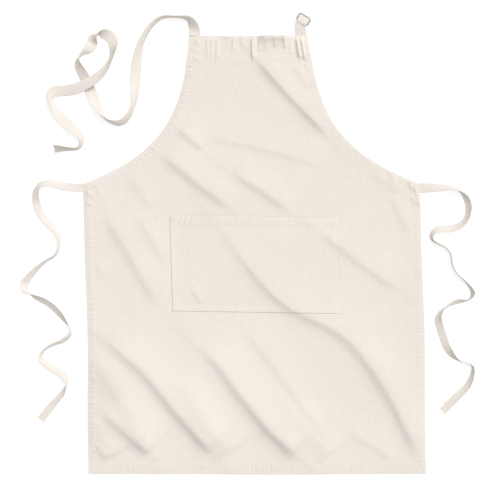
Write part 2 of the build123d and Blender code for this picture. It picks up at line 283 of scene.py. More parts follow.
right_tie_route = [
    (*right_exit, 0, 0),
    (0.346, right_exit[1], 10, 0),
    (0.388, 0.108, 70, 0),
    (0.411, 0.084, 148, 0),
    (0.411, 0.048, 122, 0),
    (0.386, 0.027, 152, 0),
    (0.348, 0.029, 150, 0),
    (0.335, 0.007, 100, 0),
    (0.378, -0.010, 88, 0),
    (0.380, -0.050, 87, 0),
    (0.411, -0.077, 94, 0),
    (0.422, -0.096, 128, 0),
    (0.411, -0.111, 80, 0),
    (0.382, -0.111, 34, 0),
    (0.349, -0.138, 142, 0),
    (0.359, -0.169, 168, 0),
    (0.371, -0.207, 158, 0),
    (0.396, -0.227, 84, 0),
    (0.424, -0.231, 97, 0),
    (0.413, -0.271, 136, 0),
    (0.386, -0.296, 158, 0),
    (0.361, -0.322, 178, 0),
]
# Outline of a pressed tape: share of its width across, share of its thickness up.
tape_section = np.array([
    (-0.5, 0), (-0.485, 0.36), (-0.45, 0.5), (-0.40, 0.42), (-0.36, 0.5), (-0.2, 0.5), (0, 0.5),
    (0.2, 0.5), (0.36, 0.5), (0.40, 0.42), (0.45, 0.5), (0.485, 0.36), (0.5, 0),
    (0.485, -0.36), (0.45, -0.5), (0.40, -0.42), (0.36, -0.5), (0.2, -0.5), (0, -0.5),
    (-0.2, -0.5), (-0.36, -0.5), (-0.40, -0.42), (-0.45, -0.5), (-0.485, -0.36),
])
end_turn = 8 * MM            # the turned end is thicker over this length
end_extra = 0.45             # and by this share
flare_reach = 16 * MM        # a tie widens towards its sewn end over this length
floor_gap = 0.15 * MM
curl = 0.17                  # a tape on its edge curls, and spans this much less
cup = 0.15                   # depth of that curl, as a share of the width
highest_tape = 20.6 * MM     # no point of a tape stands higher
settling = 18                # rounds of evening out the height along a tape


def eased(values, rounds):
    """Values evened out with their neighbours, over and over."""
    for _ in range(rounds):
        values = np.convolve(np.pad(values, 1, "edge"), (0.25, 0.5, 0.25), "valid")
    return values


def lay_tape(name, route, width, stack, flare):
    """A pressed tape that rolls along its route, wider by the flare where it is sewn in."""
    places = read_spline([(x, y, 0) for x, y, roll, lift in route])
    states = read_spline([(radians(roll), lift, 0) for x, y, roll, lift in route])
    roll, lift = states[:, 0], states[:, 1]
    far = travelled(places)
    tilt = abs(np.sin(roll))
    span = width * (1 - curl * tilt ** 4) * (1 + flare * np.exp(-far / flare_reach))
    cupped = 4 * cup * width * tilt ** 2
    height = span / 2 * tilt + (stack / 2 + cupped / 6) * abs(np.cos(roll)) + lift + floor_gap
    line = places.copy()
    line[:, 2] = eased(height, settling)
    ahead = unit(np.gradient(line, axis=0))
    left = unit(np.cross((0, 0, 1), ahead))
    up = np.cross(ahead, left)
    across = left * np.cos(roll)[:, None] - up * np.sin(roll)[:, None]
    face = up * np.cos(roll)[:, None] + left * np.sin(roll)[:, None]
    thick = stack * (1 + end_extra * (far > far[-1] - end_turn))
    out = tape_section[None, :, 0]
    rise = tape_section[None, :, 1] * thick[:, None] + (1 / 12 - out ** 2) * cupped[:, None]
    sideways = across[:, None] * (out * span[:, None])[..., None]
    rings = line[:, None] + sideways + face[:, None] * rise[..., None]
    rings[..., 2] = np.clip(rings[..., 2], floor_gap, highest_tape)
    return tube(name, rings, far, travelled(tape_section * (width, stack))), line


strap_piece, strap_line = lay_tape("neck_strap_tape", neck_strap_route, strap_width, strap_stack, 0)
left_piece, left_line = lay_tape("left_tie_tape", left_tie_route, tie_width, tie_stack, 0.15)
right_piece, right_line = lay_tape("right_tie_tape", right_tie_route, tie_width, tie_stack, 0.42)

# ---- how the cloth lies: soft folds, each a crest that falls away on two sides ----
# In mm: height, reach of its shaded side, reach of its lit side, then the crest from its upper end down.
folds = [
    (6.2, 8.6, 44, [(-4, 366), (36, 319), (71, 280), (109, 242), (152, 198)]),
    (1.4, 6, 26, [(72, 345), (110, 294)]),
    (3.4, 6.5, 26, [(-147, 222), (-120, 199), (-95, 178)]),
    (5.4, 8.6, 44, [(-186, 177), (-148, 150), (-100, 108), (-36, 64)]),
    (4.6, 9, 42, [(-48, 142), (-14, 121), (30, 92), (75, 62)]),
    (2.2, 8, 38, [(-95, 207), (11, 188), (145, 146)]),
    (1.6, 8, 28, [(-240, 132), (-196, 67)]),
    (4.0, 10, 44, [(-283, 66), (-273, 33), (-244, -10), (-214, -67), (-175, -126)]),
    (2.0, 7.5, 26, [(-226, 58), (-171, -33)]),
    (6.8, 11, 50, [(-67, 34), (-43, 1), (-8, -47), (25, -85), (59, -117), (86, -132), (149, -161),
                  (188, -190), (227, -239), (264, -298), (293, -356), (313, -398), (324, -424)]),
    (3.4, 9, 38, [(120, 32), (178, -18), (254, -72), (291, -95)]),
    (9.0, 11.5, 50, [(-298, -171), (-215, -239), (-176, -287), (-138, -335), (-70, -408)]),
    (10.0, 12.5, 52, [(-110, -191), (-71, -224), (-42, -268), (-3, -316), (35, -364), (93, -412)]),
    (2.2, 7.5, 32, [(-23, -153), (54, -258), (149, -383)]),
    (7.0, 11, 30, [(-297, -316), (-196, -402)]),
    (3.0, 6.5, 18, [(-303, -383), (-283, -412)]),
    (1.7, 6, 24, [(260, 96), (298, 19)]),
    (1.6, 4, 14, [(234, 134), (247, 114)]),
    (1.6, 4, 14, [(263, 128), (272, 95)]),
    (1.9, 7, 26, [(169, -354), (265, -412)]),
    (1.5, 5, 16, [(-120, -86), (-100, -115)]),
    (1.5, 5, 16, [(-303, -38), (-283, -67)]),
    # Broad, shallow falls of the cloth over the lower part of the skirt
    (6.6, 27, 44, [(-308, -205), (-250, -300), (-190, -400)]),
    (4.8, 24, 40, [(-155, -240), (-100, -320), (-45, -408)]),
    (4.0, 24, 34, [(50, -290), (150, -410)]),
    (3.4, 22, 30, [(-312, -330), (-262, -408)]),
    # Creases in the doubled bib, gathered where the strap and the tab are sewn in
    (1.2, 2.2, 5, [(-112, 396), (-108, 378)]),
    (1.0, 2.2, 5, [(-118, 372), (-101, 366)]),
    (1.2, 2.2, 5, [(-119, 356), (-103, 352)]),
    (1.5, 2.0, 5, [(-91, 398), (-90, 352)]),
    (1.3, 2.0, 5, [(-82, 398), (-83, 356)]),
    (1.7, 2.2, 6, [(-71, 398), (-73, 350)]),
    (1.3, 3.0, 7, [(-66, 396), (-44, 395)]),
    (1.5, 2.4, 7, [(-40, 398), (-42, 366)]),
    (1.0, 2.6, 7, [(-24, 398), (-23, 376)]),
    (3.4, 2.2, 8, [(-4, 398), (-5, 372), (-3, 350)]),
    (1.5, 2.4, 6, [(10, 398), (9, 366)]),
    (8.2, 11.5, 3, [(4, 397), (36, 398), (70, 397)]),
    (1.4, 2.2, 6, [(24, 397), (22, 372)]),
    (2.0, 2.4, 6, [(40, 397), (39, 376)]),
    (2.2, 2.6, 6, [(57, 396), (59, 372)]),
    (1.5, 2.4, 6, [(68, 398), (70, 360)]),
    (4.4, 2.6, 7, [(80, 398), (83, 374), (88, 350)]),
    (4.2, 2.4, 6, [(89, 398), (93, 372), (98, 348)]),
    (1.8, 1.8, 5, [(98, 396), (103, 358)]),
    # Creases about the waist corners, where the ties are sewn in
    (1.3, 2.6, 6, [(296, 122), (303, 98)]),
    (1.5, 2.4, 5, [(305, 116), (313, 88)]),
    (1.6, 2.4, 5, [(311, 92), (318, 68)]),
    (1.0, 2.2, 6, [(300, 90), (312, 74)]),
    (1.1, 2.4, 6, [(-325, 96), (-306, 90)]),
    (1.1, 2.4, 6, [(-326, 78), (-308, 74)]),
    (0.9, 2.4, 6, [(-304, 108), (-292, 88)]),
]
# Slow swells left by washing: length across in metres, heading in degrees, shift, height in mm.
swells = [
    (0.41, 35, 0.3, 0.55), (0.27, 118, 1.9, 0.45), (0.19, 62, 4.1, 0.32), (0.143, 150, 2.7, 0.22),
    (0.112, 20, 5.2, 0.16), (0.083, 95, 0.9, 0.10), (0.061, 48, 3.3, 0.07),
]
fold_fade = 0.22             # share of a fold's length over which each end dies away
hem_fade = 0.10              # the same at the foot of a fold that runs down almost to the bottom hem
runs_down_y = (-425, -400)   # such a fold ends between these heights, in mm
runs_down_start = 0.6        # it starts at this share of its height
runs_down_growth = 0.7       # and gains this share on its way down
fold_floor = 0.15            # what is left of a fold at its very ends
fold_gain = 1.15             # every fold stands this much higher than its row says
fold_window = 4              # a fold is felt this many reaches away
fold_sharpness = 1.2         # power of its cross-section
crest_points = 48            # a crest is read at about this many points
straight_points = 24         # a crest between two points is read at this many
past_end = 8 * MM            # how far beyond its ends a crest's share still runs on
blunt_end = 4 * MM           # a fold keeps its height this far beyond its ends


def fold_height(x, y, height, shaded, lit, crest):
    """Height of one fold at each place."""
    controls = [(px * MM, py * MM, 0) for px, py in crest]
    line = read_spline(controls) if len(crest) > 2 else np.linspace(*controls, straight_points)
    line = line[:: max(1, len(line) // crest_points)]
    reach = fold_window * max(lit, shaded) * MM
    near = (
        (x > line[:, 0].min() - reach) & (x < line[:, 0].max() + reach)
        & (y > line[:, 1].min() - reach) & (y < line[:, 1].max() + reach)
    )
    place = np.stack([x[near], y[near]], -1)
    ahead = unit(np.gradient(line[:, :2], axis=0))
    gap = place[:, None] - line[None, :, :2]
    closest = (gap ** 2).sum(-1).argmin(1)
    gap = gap[np.arange(len(place)), closest]
    heading = ahead[closest]
    aside = heading[:, 0] * gap[:, 1] - heading[:, 1] * gap[:, 0]
    beyond = (heading * gap).sum(-1)
    along = travelled(line)
    share = np.clip((along[closest] + np.clip(beyond, -past_end, past_end)) / along[-1], 0, 1)
    runs_down = runs_down_y[0] < crest[-1][1] < runs_down_y[1]
    end_fade = hem_fade if runs_down else fold_fade
    fade = smooth_step(share / fold_fade) * smooth_step((1 - share) / end_fade)
    fade = fade * (runs_down_start + runs_down_growth * share if runs_down else 1)
    past = np.maximum(0, abs(beyond) - blunt_end) / (lit * MM)
    width = np.where(aside > 0, lit, shaded) * MM
    tall = height * MM * (fold_floor + (1 - fold_floor) * fade)
    out = np.zeros_like(x)
    out[near] = tall * np.exp(-past ** 2) / (1 + (aside / width) ** 2) ** fold_sharpness
    return out


swell_floor = 0.25 * MM      # the swells start this far below the floor, so that the cloth rests on it
swell_hollow = 0.3           # a hollow keeps this share of its depth
swell_wander = 1.5           # the swells shift by up to this angle from place to place
settle = 0.5 * MM            # the cloth rounds off on to the floor within this height


def lift(x, y):
    """How far the cloth stands off the floor."""
    x, y = np.broadcast_arrays(np.asarray(x, float), np.asarray(y, float))
    shape = x.shape
    x, y = x.ravel(), y.ravel()
    total = np.full_like(x, -swell_floor)
    for length, heading, shift, height in swells:
        way = x * cos(radians(heading)) + y * sin(radians(heading))
        total += height * MM * np.sin(2 * pi * way / length + shift + swell_wander * np.sin(7 * x + 5 * y))
    total = np.maximum.reduce([total, total * swell_hollow])
    for height, shaded, lit, crest in folds:
        total += fold_height(x, y, fold_gain * height, shaded, lit, crest)
    return (0.5 * (total + np.sqrt(total ** 2 + settle ** 2))).reshape(shape)


# Lengths over which the creases of a seam repeat, and over which they bunch and spread.
crease_pitch = 7.9 * MM
crease_drift = (47 * MM, 21.3 * MM)
crease_swell = (59 * MM, 143 * MM)


def wave(far, length, shift=0.0):
    return np.sin(2 * pi * far / length + shift)


def pucker(far, phase):
    """Uneven creases that a tight seam draws along an edge, from about -1 to 1, sharper below than above."""
    beat = 2 * pi * far / crease_pitch
    beat = beat + 2.4 * wave(far, crease_drift[0], phase) + 1.5 * wave(far, crease_drift[1])
    swell = 0.60 + 0.28 * wave(far, crease_swell[0], 2.3 * phase) + 0.26 * wave(far, crease_swell[1], phase)
    crease = 1 - 1.9 * np.exp(-(1 + np.sin(beat)) / 0.55)
    return crease * np.clip(swell, 0.1, 1.1)


# ---- edges of the pattern ----
armhole_points = 420


def armhole_line(side):
    """The armhole edge from the bib down to the waist corner, evenly spaced."""
    t = np.linspace(0, 1, 2001)[:, None]
    pulls = [
        (side * bib_half_width, 0), (side * armhole_pull_top[0], armhole_pull_top[1]),
        (side * armhole_pull_low[0], armhole_pull_low[1]), (side * skirt_half_width, armhole_depth),
    ]
    a, b, c, d = [np.array((lay_x(x, bib_top - depth), bib_top - depth)) for x, depth in pulls]
    fine = (1 - t) ** 3 * a + 3 * (1 - t) ** 2 * t * b + 3 * (1 - t) * t ** 2 * c + t ** 3 * d
    return evenly(fine, armhole_points)


def evenly(line, count):
    """The same line read at evenly spaced points."""
    far = travelled(line)
    at = np.linspace(0, far[-1], count)
    return np.stack([np.interp(at, far, line[:, axis]) for axis in range(line.shape[1])], -1)


def straight(start, end):
    """Closely spaced points from start to end."""
    start, end = np.array(start, float), np.array(end, float)
    count = int(np.linalg.norm(end - start) / point_spacing) + 2
    return np.linspace(start, end, count)


def inward(edge, side):
    """Unit vectors square to an edge, to its left (1) or right (-1)."""
    ahead = unit(np.gradient(edge, axis=0))
    return side * np.stack([-ahead[:, 1], ahead[:, 0]], -1)


lip_share = 0.85             # height of the cloth just inside a hem, as a share of the hem's
settle_reach = 20 * MM       # it comes down towards the floor over this distance
seam_share = 0.86            # height of a hem where its seam draws it in, as a share of the hem's
ripple_height = 0.50 * MM
ripple_slant = 0.15          # the creases lean along the edge by this much of their length
edge_waver = 0.35 * MM       # they draw the edge in and out by this much
edge_waver_clear = 12 * MM   # but not this close to a hem's ends


def hem_profile(width, step):
    """Round a turned edge: distance in from it and height, over the top, down the lip and back below."""
    seam = width - stitch_inset
    flat = np.arange(2.4 * MM, seam - 1.2 * MM, step)
    over = [
        (0, 0.5), (0.12 * MM, 0.74), (0.5 * MM, 0.93), (1.2 * MM, 1.0),
        *((t, 1.0) for t in flat),
        (seam - 1.1 * MM, 0.97), (seam, 0.87), (seam + 1.1 * MM, 0.94),
        (width, 0.93), (width + 1 * MM, 0.90), (width + 2.2 * MM, 0.88), (width + 3.6 * MM, 0.87),
        (width + 5.2 * MM, 0.86), (width + lip, lip_share),
    ]
    below = [
        (width + lip, 0.05), (width, 0),
        *((t, 0) for t in flat[::-1]),
        (1.2 * MM, 0), (0.12 * MM, 0.22),
    ]
    return np.array([(t, share * hem_height) for t, share in over + below])


def ripple(far, inside, reach, phase):
    """Creases between an edge and the cloth inside its seam."""
    bunch = 0.35 + 0.65 * np.sin(np.clip(inside / reach, 0, 1) * pi) ** 0.6
    bunch = bunch * smooth_step((reach - 1.3 * tuck - inside) / (lip - tuck))
    return ripple_height * bunch * pucker(far + ripple_slant * inside, phase)


def band(name, place, profile, far, phase, strength):
    """Cloth turned under along an edge, from places in plan, shape (along, round the turn, 2)."""
    inside = profile[None, :, 0]
    share = profile[None, :, 1] / hem_height
    z = lift(place[..., 0], place[..., 1]) + profile[None, :, 1]
    z = z + share * strength * ripple(far[:, None], inside, profile[:, 0].max(), phase)
    return tube(name, at_height(place, z), far, travelled(profile))


def facing_up(line):
    """A line of points, with the upward direction of each."""
    return line, np.tile((0.0, 0.0, 1.0), (len(line), 1))


def on_hem(place, far, width, phase, strength):
    """Points on a hem's upper face where its seam runs, with the upward direction of each."""
    inside = np.full_like(far, width - stitch_inset)
    z = lift(place[:, 0], place[:, 1]) + seam_share * hem_height
    z = z + seam_share * strength * ripple(far, inside, width + lip, phase)
    return facing_up(at_height(place, z))


def hem(name, edge, side, width, phase, strength, fall, cut_start=0, cut_end=0):
    """A hem along an edge, with its cloth to the left (1) or right (-1).

    It falls towards the edge by a share of its height. The cuts slant its ends, for a mitre.
    """
    profile = hem_profile(width, hem_step)
    profile[:, 1] *= 1 - fall * smooth_step(1 - profile[:, 0] / width)
    far = travelled(edge)
    to_end = far[-1] - far
    into = inward(edge, side)
    ahead = unit(np.gradient(edge, axis=0))
    slant = cut_start * smooth_step(1 - far / mitre_room) - cut_end * smooth_step(1 - to_end / mitre_room)
    slide = ahead[:, None] * (profile[None, :, :1] * slant[:, None, None])
    place = edge[:, None] + into[:, None] * profile[None, :, :1] + slide
    clear_of_ends = smooth_step(far / edge_waver_clear) * smooth_step(to_end / edge_waver_clear)
    waver = edge_waver * (pucker(far, phase) * clear_of_ends)[:, None]
    waver = waver * smooth_step(1 - profile[None, :, 0] / width)
    place = place + into[:, None] * waver[..., None]
    piece = band(name, place, profile, far, phase, np.reshape(strength, (-1, 1)))
    return piece, on_hem(edge + into * (width - stitch_inset), far, width, phase, strength)


# ---- hems and facing ----
hem_step = 2.2 * MM
mitre = 0.63                 # slant of a hem's end at the waist corner
mitre_room = 45 * MM         # the slant eases in over this length
hem_fall = {-1: 0.72, 1: 0.1}    # share of its height that a left (-1) or right (1) hem loses at its edge
armhole_strength = 1.1       # how strongly a hem ripples
side_strength = {-1: 1.2, 1: 0.6}
under_facing = 1 * MM        # an armhole hem starts this far under the facing
inner_inset = lip - tuck     # the panel starts this far in from a hem's depth
facing_low = bib_top - facing_depth
foot_y = bottom_y + bottom_hem_width
pieces = {}
seams = {}
inner_edge = {}
for word, side in (("left", -1), ("right", 1)):
    armhole = armhole_line(side)
    below_facing = armhole[armhole[:, 1] < facing_low + under_facing]
    side_edge = straight((side * skirt_half_width, waist_y), (side * skirt_half_width, foot_y))
    side_edge[:, 0] = lay_x(side_edge[:, 0], side_edge[:, 1])
    pieces[f"{word}_armhole_hem"], seams[f"{word}_armhole"] = hem(
        f"{word}_armhole_edge", below_facing, -side, armhole_hem_width, 0.7 + side, armhole_strength,
        hem_fall[side], cut_end=mitre
    )
    pieces[f"{word}_side_hem"], seams[f"{word}_side"] = hem(
        f"{word}_side_edge", side_edge, -side, side_hem_width, 2.1 - side, side_strength[side],
        hem_fall[side], cut_start=mitre
    )
    armhole_inner = armhole + inward(armhole, -side) * (armhole_hem_width + inner_inset)
    side_inner = side_edge + inward(side_edge, -side) * (side_hem_width + inner_inset)
    inner_edge[side] = (armhole_inner, side_inner)

bottom_edge = straight(
    (lay_x(-skirt_half_width, bottom_y), bottom_y), (lay_x(skirt_half_width, bottom_y), bottom_y)
)
# The bottom edge bows out a little right of the middle.
bottom_sag = 1.5 * MM
bottom_sag_x = 0.05
bottom_sag_reach = 0.13
bottom_edge[:, 1] -= bottom_sag * hump(bottom_edge[:, 0] - bottom_sag_x, bottom_sag_reach)
# Its hem ripples most in a stretch near the middle.
bunch_x = 0.03
bunch_reach = 0.055
bottom_bunch = 0.38 + 0.6 * hump(bottom_edge[:, 0] - bunch_x, bunch_reach)
pieces["bottom_hem"], seams["bottom"] = hem(
    "bottom_edge", bottom_edge, 1, bottom_hem_width, 4.4, bottom_bunch, 0.3
)


def armhole_x(side, y):
    """Where the armhole edge is at a height."""
    edge = armhole_line(side)
    return np.interp(-y, -edge[:, 1], edge[:, 0])


facing_step = 1.6 * MM
facing_columns = 250
facing_profile = hem_profile(facing_depth, facing_step)
facing_y = bib_top - facing_profile[:, 0]
facing_across = np.linspace(0, 1, facing_columns)[:, None]
facing_phase = 3.2
facing_start = armhole_x(-1, facing_y)[None]
facing_end = armhole_x(1, facing_y)[None]
facing_place = np.stack(
    np.broadcast_arrays(facing_start + (facing_end - facing_start) * facing_across, facing_y[None]), -1
)
facing_far = facing_across[:, 0] * 2 * bib_half_width
# The doubled bib creases most along its seam, less along its edge, and towards its sides.
seam_bunch_reach = 9 * MM
edge_bunch_reach = 7 * MM
facing_bunch = 0.22 + 0.78 * hump(facing_profile[:, 0] - facing_depth, seam_bunch_reach)
facing_bunch = facing_bunch[None] + 0.35 * hump(facing_profile[None, :, 0], edge_bunch_reach)
facing_bunch = facing_bunch * (0.45 + 0.75 * abs(2 * facing_across - 1) ** 2.5)
pieces["bib_facing"] = band(
    "bib_facing_band", facing_place, facing_profile, facing_far, facing_phase, facing_bunch
)
facing_seam_y = facing_low + stitch_inset
facing_seam = straight(*((armhole_x(side, facing_seam_y) - side * 1 * MM, facing_seam_y) for side in (-1, 1)))
seams["facing"] = on_hem(facing_seam, travelled(facing_seam), facing_depth, facing_phase, 0.9)

# ---- main panel, one piece of canvas inside the hems ----
rim_step = 1.2 * MM
rim_drop = 0.06 * MM         # its rim lies this far under the lips of the hems
panel_step = 3.3 * MM
panel_columns = 128


def spaced(start, end, spacing, rims=(rim_step,)):
    """Even places between two ends, with extra ones close to each end."""
    inner = np.linspace(start + rims[-1], end - rims[-1], int((end - start) / spacing) + 2)
    first = [start] + [start + rim for rim in rims[:-1]]
    last = [end - rim for rim in rims[:-1]][::-1] + [end]
    return np.concatenate([first, inner, last])


def inner_x(side, y):
    """Where the panel's side is at each height."""
    armhole_inner, side_inner = inner_edge[side]
    along_side = np.interp(-y, -side_inner[:, 1], side_inner[:, 0])
    along_armhole = np.interp(-y, -armhole_inner[:, 1], armhole_inner[:, 0])
    return np.maximum(along_side, along_armhole) if side < 0 else np.minimum(along_side, along_armhole)


panel_y = spaced(foot_y + lip - tuck, facing_low - lip + tuck, panel_step)
panel_left, panel_right = inner_x(-1, panel_y), inner_x(1, panel_y)
panel_across = np.linspace(0, 1, panel_columns)[None]
panel_x = panel_left[:, None] + rim_step + (panel_right - panel_left - 2 * rim_step)[:, None] * panel_across
panel_x = np.concatenate([panel_left[:, None], panel_x, panel_right[:, None]], 1)
panel_place = np.stack(np.broadcast_arrays(panel_x, panel_y[:, None]), -1)
edge_slope = np.gradient(panel_left, panel_y)[:, None], np.gradient(panel_right, panel_y)[:, None]
from_hems = np.minimum.reduce([
    (panel_x - panel_left[:, None]) / np.sqrt(1 + edge_slope[0] ** 2),
    (panel_right[:, None] - panel_x) / np.sqrt(1 + edge_slope[1] ** 2),
    np.broadcast_to((panel_y - panel_y[0])[:, None], panel_x.shape),
    np.broadcast_to((panel_y[-1] - panel_y)[:, None], panel_x.shape),
])
settled = 1 / (1 + (from_hems / settle_reach) ** 2)
panel_z = lift(panel_place[..., 0], panel_place[..., 1]) + ply + (lip_share * hem_height - ply) * settled
panel_z[0] -= rim_drop
panel_z[-1] -= rim_drop
panel_z[1:-1, 0] -= rim_drop
panel_z[1:-1, -1] -= rim_drop
pieces["main_panel"] = shell("canvas_panel", at_height(panel_place, panel_z), 0.9 * ply, panel_place)

# ---- pocket ----
pocket_low_corner, pocket_high_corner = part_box("pocket_panel")
pocket_left, pocket_right = pocket_low_corner.x, pocket_high_corner.x
pocket_foot, pocket_mouth = pocket_low_corner.y, pocket_high_corner.y
pocket_stack = 1.5 * MM      # front and turning together
pocket_belly = 1.7 * MM
pocket_turning = 8 * MM
pocket_hem_depth = 15 * MM
pocket_edge_inset = 4 * MM
pocket_hem_seam = pocket_hem_depth - stitch_inset
pocket_middle = np.array(((pocket_left + pocket_right) / 2, (pocket_foot + pocket_mouth) / 2))
pocket_slant = 0.030         # washing leans its sides by this much
pocket_turn = 0.0145         # turns its mouth and foot by this much
pocket_creep = 1.2 * MM      # and draws it up by this much
pocket_step = 2.2 * MM
strip_step = 2.4 * MM
edge_rims = (0.12 * MM, 0.45 * MM, 1.1 * MM)


def rounded(inside, low, reach=1.1 * MM):
    """From a low share to 1 within a short reach of a turned edge."""
    return low + (1 - low) * np.sqrt(1 - (1 - np.clip(inside / reach, 0, 1)) ** 2)


belly_reach = 45 * MM        # the slack front rises over this distance in from its seams
belly_top = 90 * MM          # and more so this far below the mouth
soft_reach = 18 * MM         # the right edge rises softly over this distance, the others crisply
seam_reach = 0.9 * MM        # half the width of the groove that a seam pulls
seam_groove = 0.4 * MM
hem_groove = 0.35 * MM
hem_drop = 0.45 * MM         # the front is this much lower below its doubled hem
hem_drop_ends = 12 * MM      # and less so this close to the pocket's sides
edge_crease = 0.22 * MM
hem_crease = 0.80 * MM


def pocket_rise(x, y):
    """Height of the pocket front's upper face over the skirt's."""
    from_side = np.minimum(x - pocket_left, pocket_right - x)
    from_foot = y - pocket_foot
    from_mouth = pocket_mouth - y
    inside = np.minimum(from_side, from_foot)
    slack = smooth_step((inside - pocket_edge_inset) / belly_reach)
    slack = slack * (0.45 + 0.55 * smooth_step(1 - from_mouth / belly_top))
    crisp = rounded(np.minimum(x - pocket_left, from_foot), 0.05, 0.8 * MM)
    crisp = crisp * (0.1 + 0.9 * smooth_step((pocket_right - x) / soft_reach))
    height = pocket_stack * crisp * rounded(from_mouth, 0.7) + pocket_belly * slack
    height = height - seam_groove * hump(inside - pocket_edge_inset, seam_reach)
    height = height - hem_groove * hump(from_mouth - pocket_hem_seam, seam_reach)
    below_hem = from_mouth - pocket_hem_depth
    step_down = hem_drop * smooth_step(below_hem / (2 * MM)) * smooth_step(inside / hem_drop_ends)
    along_edge = np.where(from_side < from_foot, y, x)
    edge_bunch = hump(inside - pocket_edge_inset, 5 * MM)
    hem_bunch = np.sin(np.clip(from_mouth / (pocket_hem_depth + 5 * MM), 0, 1) * pi) ** 0.6
    height = height + edge_crease * edge_bunch * pucker(along_edge + 0.3 * inside, 5.1) * rounded(inside, 0)
    height = height + hem_crease * hem_bunch * pucker(x + 0.4 * from_mouth, 1.3) * rounded(inside, 0)
    return height - np.where(below_hem < 0, 0, step_down)


pocket_x = spaced(pocket_left, pocket_right, pocket_step, edge_rims)
pocket_y = spaced(pocket_foot, pocket_mouth, pocket_step, edge_rims)
pocket_place = np.stack(np.meshgrid(pocket_x, pocket_y), -1)


def as_worn(place):
    """Where a point of the square pocket lies now that washing has pulled it out of square."""
    out = place - pocket_middle
    return place + np.stack([-pocket_slant * out[..., 1], -pocket_turn * out[..., 0] + pocket_creep], -1)


def pocket_surface(place, drop=0.0):
    """Points of the pocket front's upper face, or so far below it."""
    lies = as_worn(place)
    rise = pocket_rise(place[..., 0], place[..., 1]) - drop
    return at_height(lies, lift(lies[..., 0], lies[..., 1]) + ply + rise)


pieces["pocket_panel"] = shell("pocket_front", pocket_surface(pocket_place), 0.55 * ply, pocket_place)

# Its turned cloth: mesh name, ends in x, ends in y, and whether it lies against the front or on the skirt.
inset = 0.6 * MM
strips = {
    "pocket_top_hem": (
        "pocket_mouth_hem", (pocket_left + pocket_turning, pocket_right - pocket_turning),
        (pocket_mouth - pocket_hem_depth, pocket_mouth - inset), True
    ),
    "pocket_left_turning": (
        "pocket_left_allowance", (pocket_left + inset, pocket_left + pocket_turning),
        (pocket_foot + inset, pocket_mouth - inset), False
    ),
    "pocket_right_turning": (
        "pocket_right_allowance", (pocket_right - pocket_turning, pocket_right - inset),
        (pocket_foot + inset, pocket_mouth - inset), False
    ),
    "pocket_bottom_turning": (
        "pocket_foot_allowance", (pocket_left + pocket_turning, pocket_right - pocket_turning),
        (pocket_foot + inset, pocket_foot + pocket_turning), False
    ),
}
for node, (name, x_range, y_range, under_front) in strips.items():
    place = np.stack(np.meshgrid(spaced(*x_range, strip_step), spaced(*y_range, strip_step)), -1)
    if under_front:
        top = pocket_surface(place, 0.65 * ply)
    else:
        lies = as_worn(place)
        top = at_height(lies, lift(lies[..., 0], lies[..., 1]) + 1.75 * ply)
    pieces[node] = shell(name, top, 0.5 * ply, place)

# ---- roots of the strap, ties and ring tab, sewn inside the turned edges ----
root_shares = np.linspace(-0.5, 0.5, 29)
root_thickness = 0.5 * np.sqrt(1 - (2 * root_shares) ** 8)
root_section = np.concatenate([
    np.stack([root_shares, root_thickness], -1),
    np.stack([root_shares, -root_thickness], -1)[-2:0:-1],
])


def swept(line, across, face, section, width, stack):
    """Rings of a tape along a line, with its width and thickness along given directions."""
    return (
        line[:, None]
        + across[:, None] * (section[None, :, :1] * width)
        + face[:, None] * (section[None, :, 1:] * stack)
    )


root_stack = 0.5 * hem_height
root_rise = 0.42 * hem_height
root_gap = 0.6 * MM          # room between a root and its node's box


def root(name, node, along_y):
    """The sewn end of a tape, between the plies of the edge that holds it."""
    low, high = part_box(node)
    if along_y:
        line = straight(((low.x + high.x) / 2, low.y), ((low.x + high.x) / 2, high.y - root_gap))
        across, width = np.tile((1.0, 0.0, 0.0), (len(line), 1)), high.x - low.x - root_gap
    else:
        line = straight((low.x + root_gap, (low.y + high.y) / 2), (high.x - root_gap, (low.y + high.y) / 2))
        across, width = np.tile((0.0, 1.0, 0.0), (len(line), 1)), high.y - low.y - root_gap
    line = at_height(line, lift(line[:, 0], line[:, 1]) + root_rise)
    face = unit(np.cross(across, unit(np.gradient(line, axis=0))))
    face = face * np.sign(face[:1, 2:3])
    rings = swept(line, across, face, root_section, width, root_stack)
    rings[..., 2] += lift(rings[..., 0], rings[..., 1]) - lift(line[:, 0], line[:, 1])[:, None]
    return tube(name, rings, travelled(line), travelled(root_section * (width, root_stack)))


for node, name, along_y in (
    ("neck_strap_root", "strap_sewn_end", True), ("ring_tab_root", "tab_sewn_end", True),
    ("left_tie_root", "left_tie_sewn_end", False), ("right_tie_root", "right_tie_sewn_end", False),
):
    pieces[node] = root(name, node, along_y)
pieces["neck_strap"] = strap_piece
pieces["left_waist_tie"] = left_piece
pieces["right_waist_tie"] = right_piece

# ---- ring tab: one tape up from the bib, over both ring bars and back beneath ----
tab_low, tab_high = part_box("ring_tab_root")
tab_x = (tab_low.x + tab_high.x) / 2
tab_width = tab_high.x - tab_low.x
tab_turn = radians(32)
toward_rings = np.array((sin(tab_turn), cos(tab_turn)))
cross_stitch_place = np.array((tab_x - 0.5 * MM, bib_top + 22.1 * MM))
tab_ply = 0.66 * MM
tab_points = 110
tab_flare = 0.24             # the tab widens by this share towards the bib
tab_flare_reach = 5 * MM
ring_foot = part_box("lower_d_ring")[0].z
ring_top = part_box("upper_d_ring")[1].z
over_bars = ring_top + tab_ply / 2 + 0.12 * MM
under_bars = ring_foot - tab_ply / 2 - 0.06 * MM
tab_plan = read_spline([(tab_x, bib_top - 1 * MM, 0), (tab_x, bib_top + 9 * MM, 0)] + [
    (*(cross_stitch_place + toward_rings * far * MM), 0) for far in (-2, 4, 17)
])
tab_plan_far = travelled(tab_plan)
stitch_far = 22.6 * MM
bar_far = stitch_far + 5 * MM
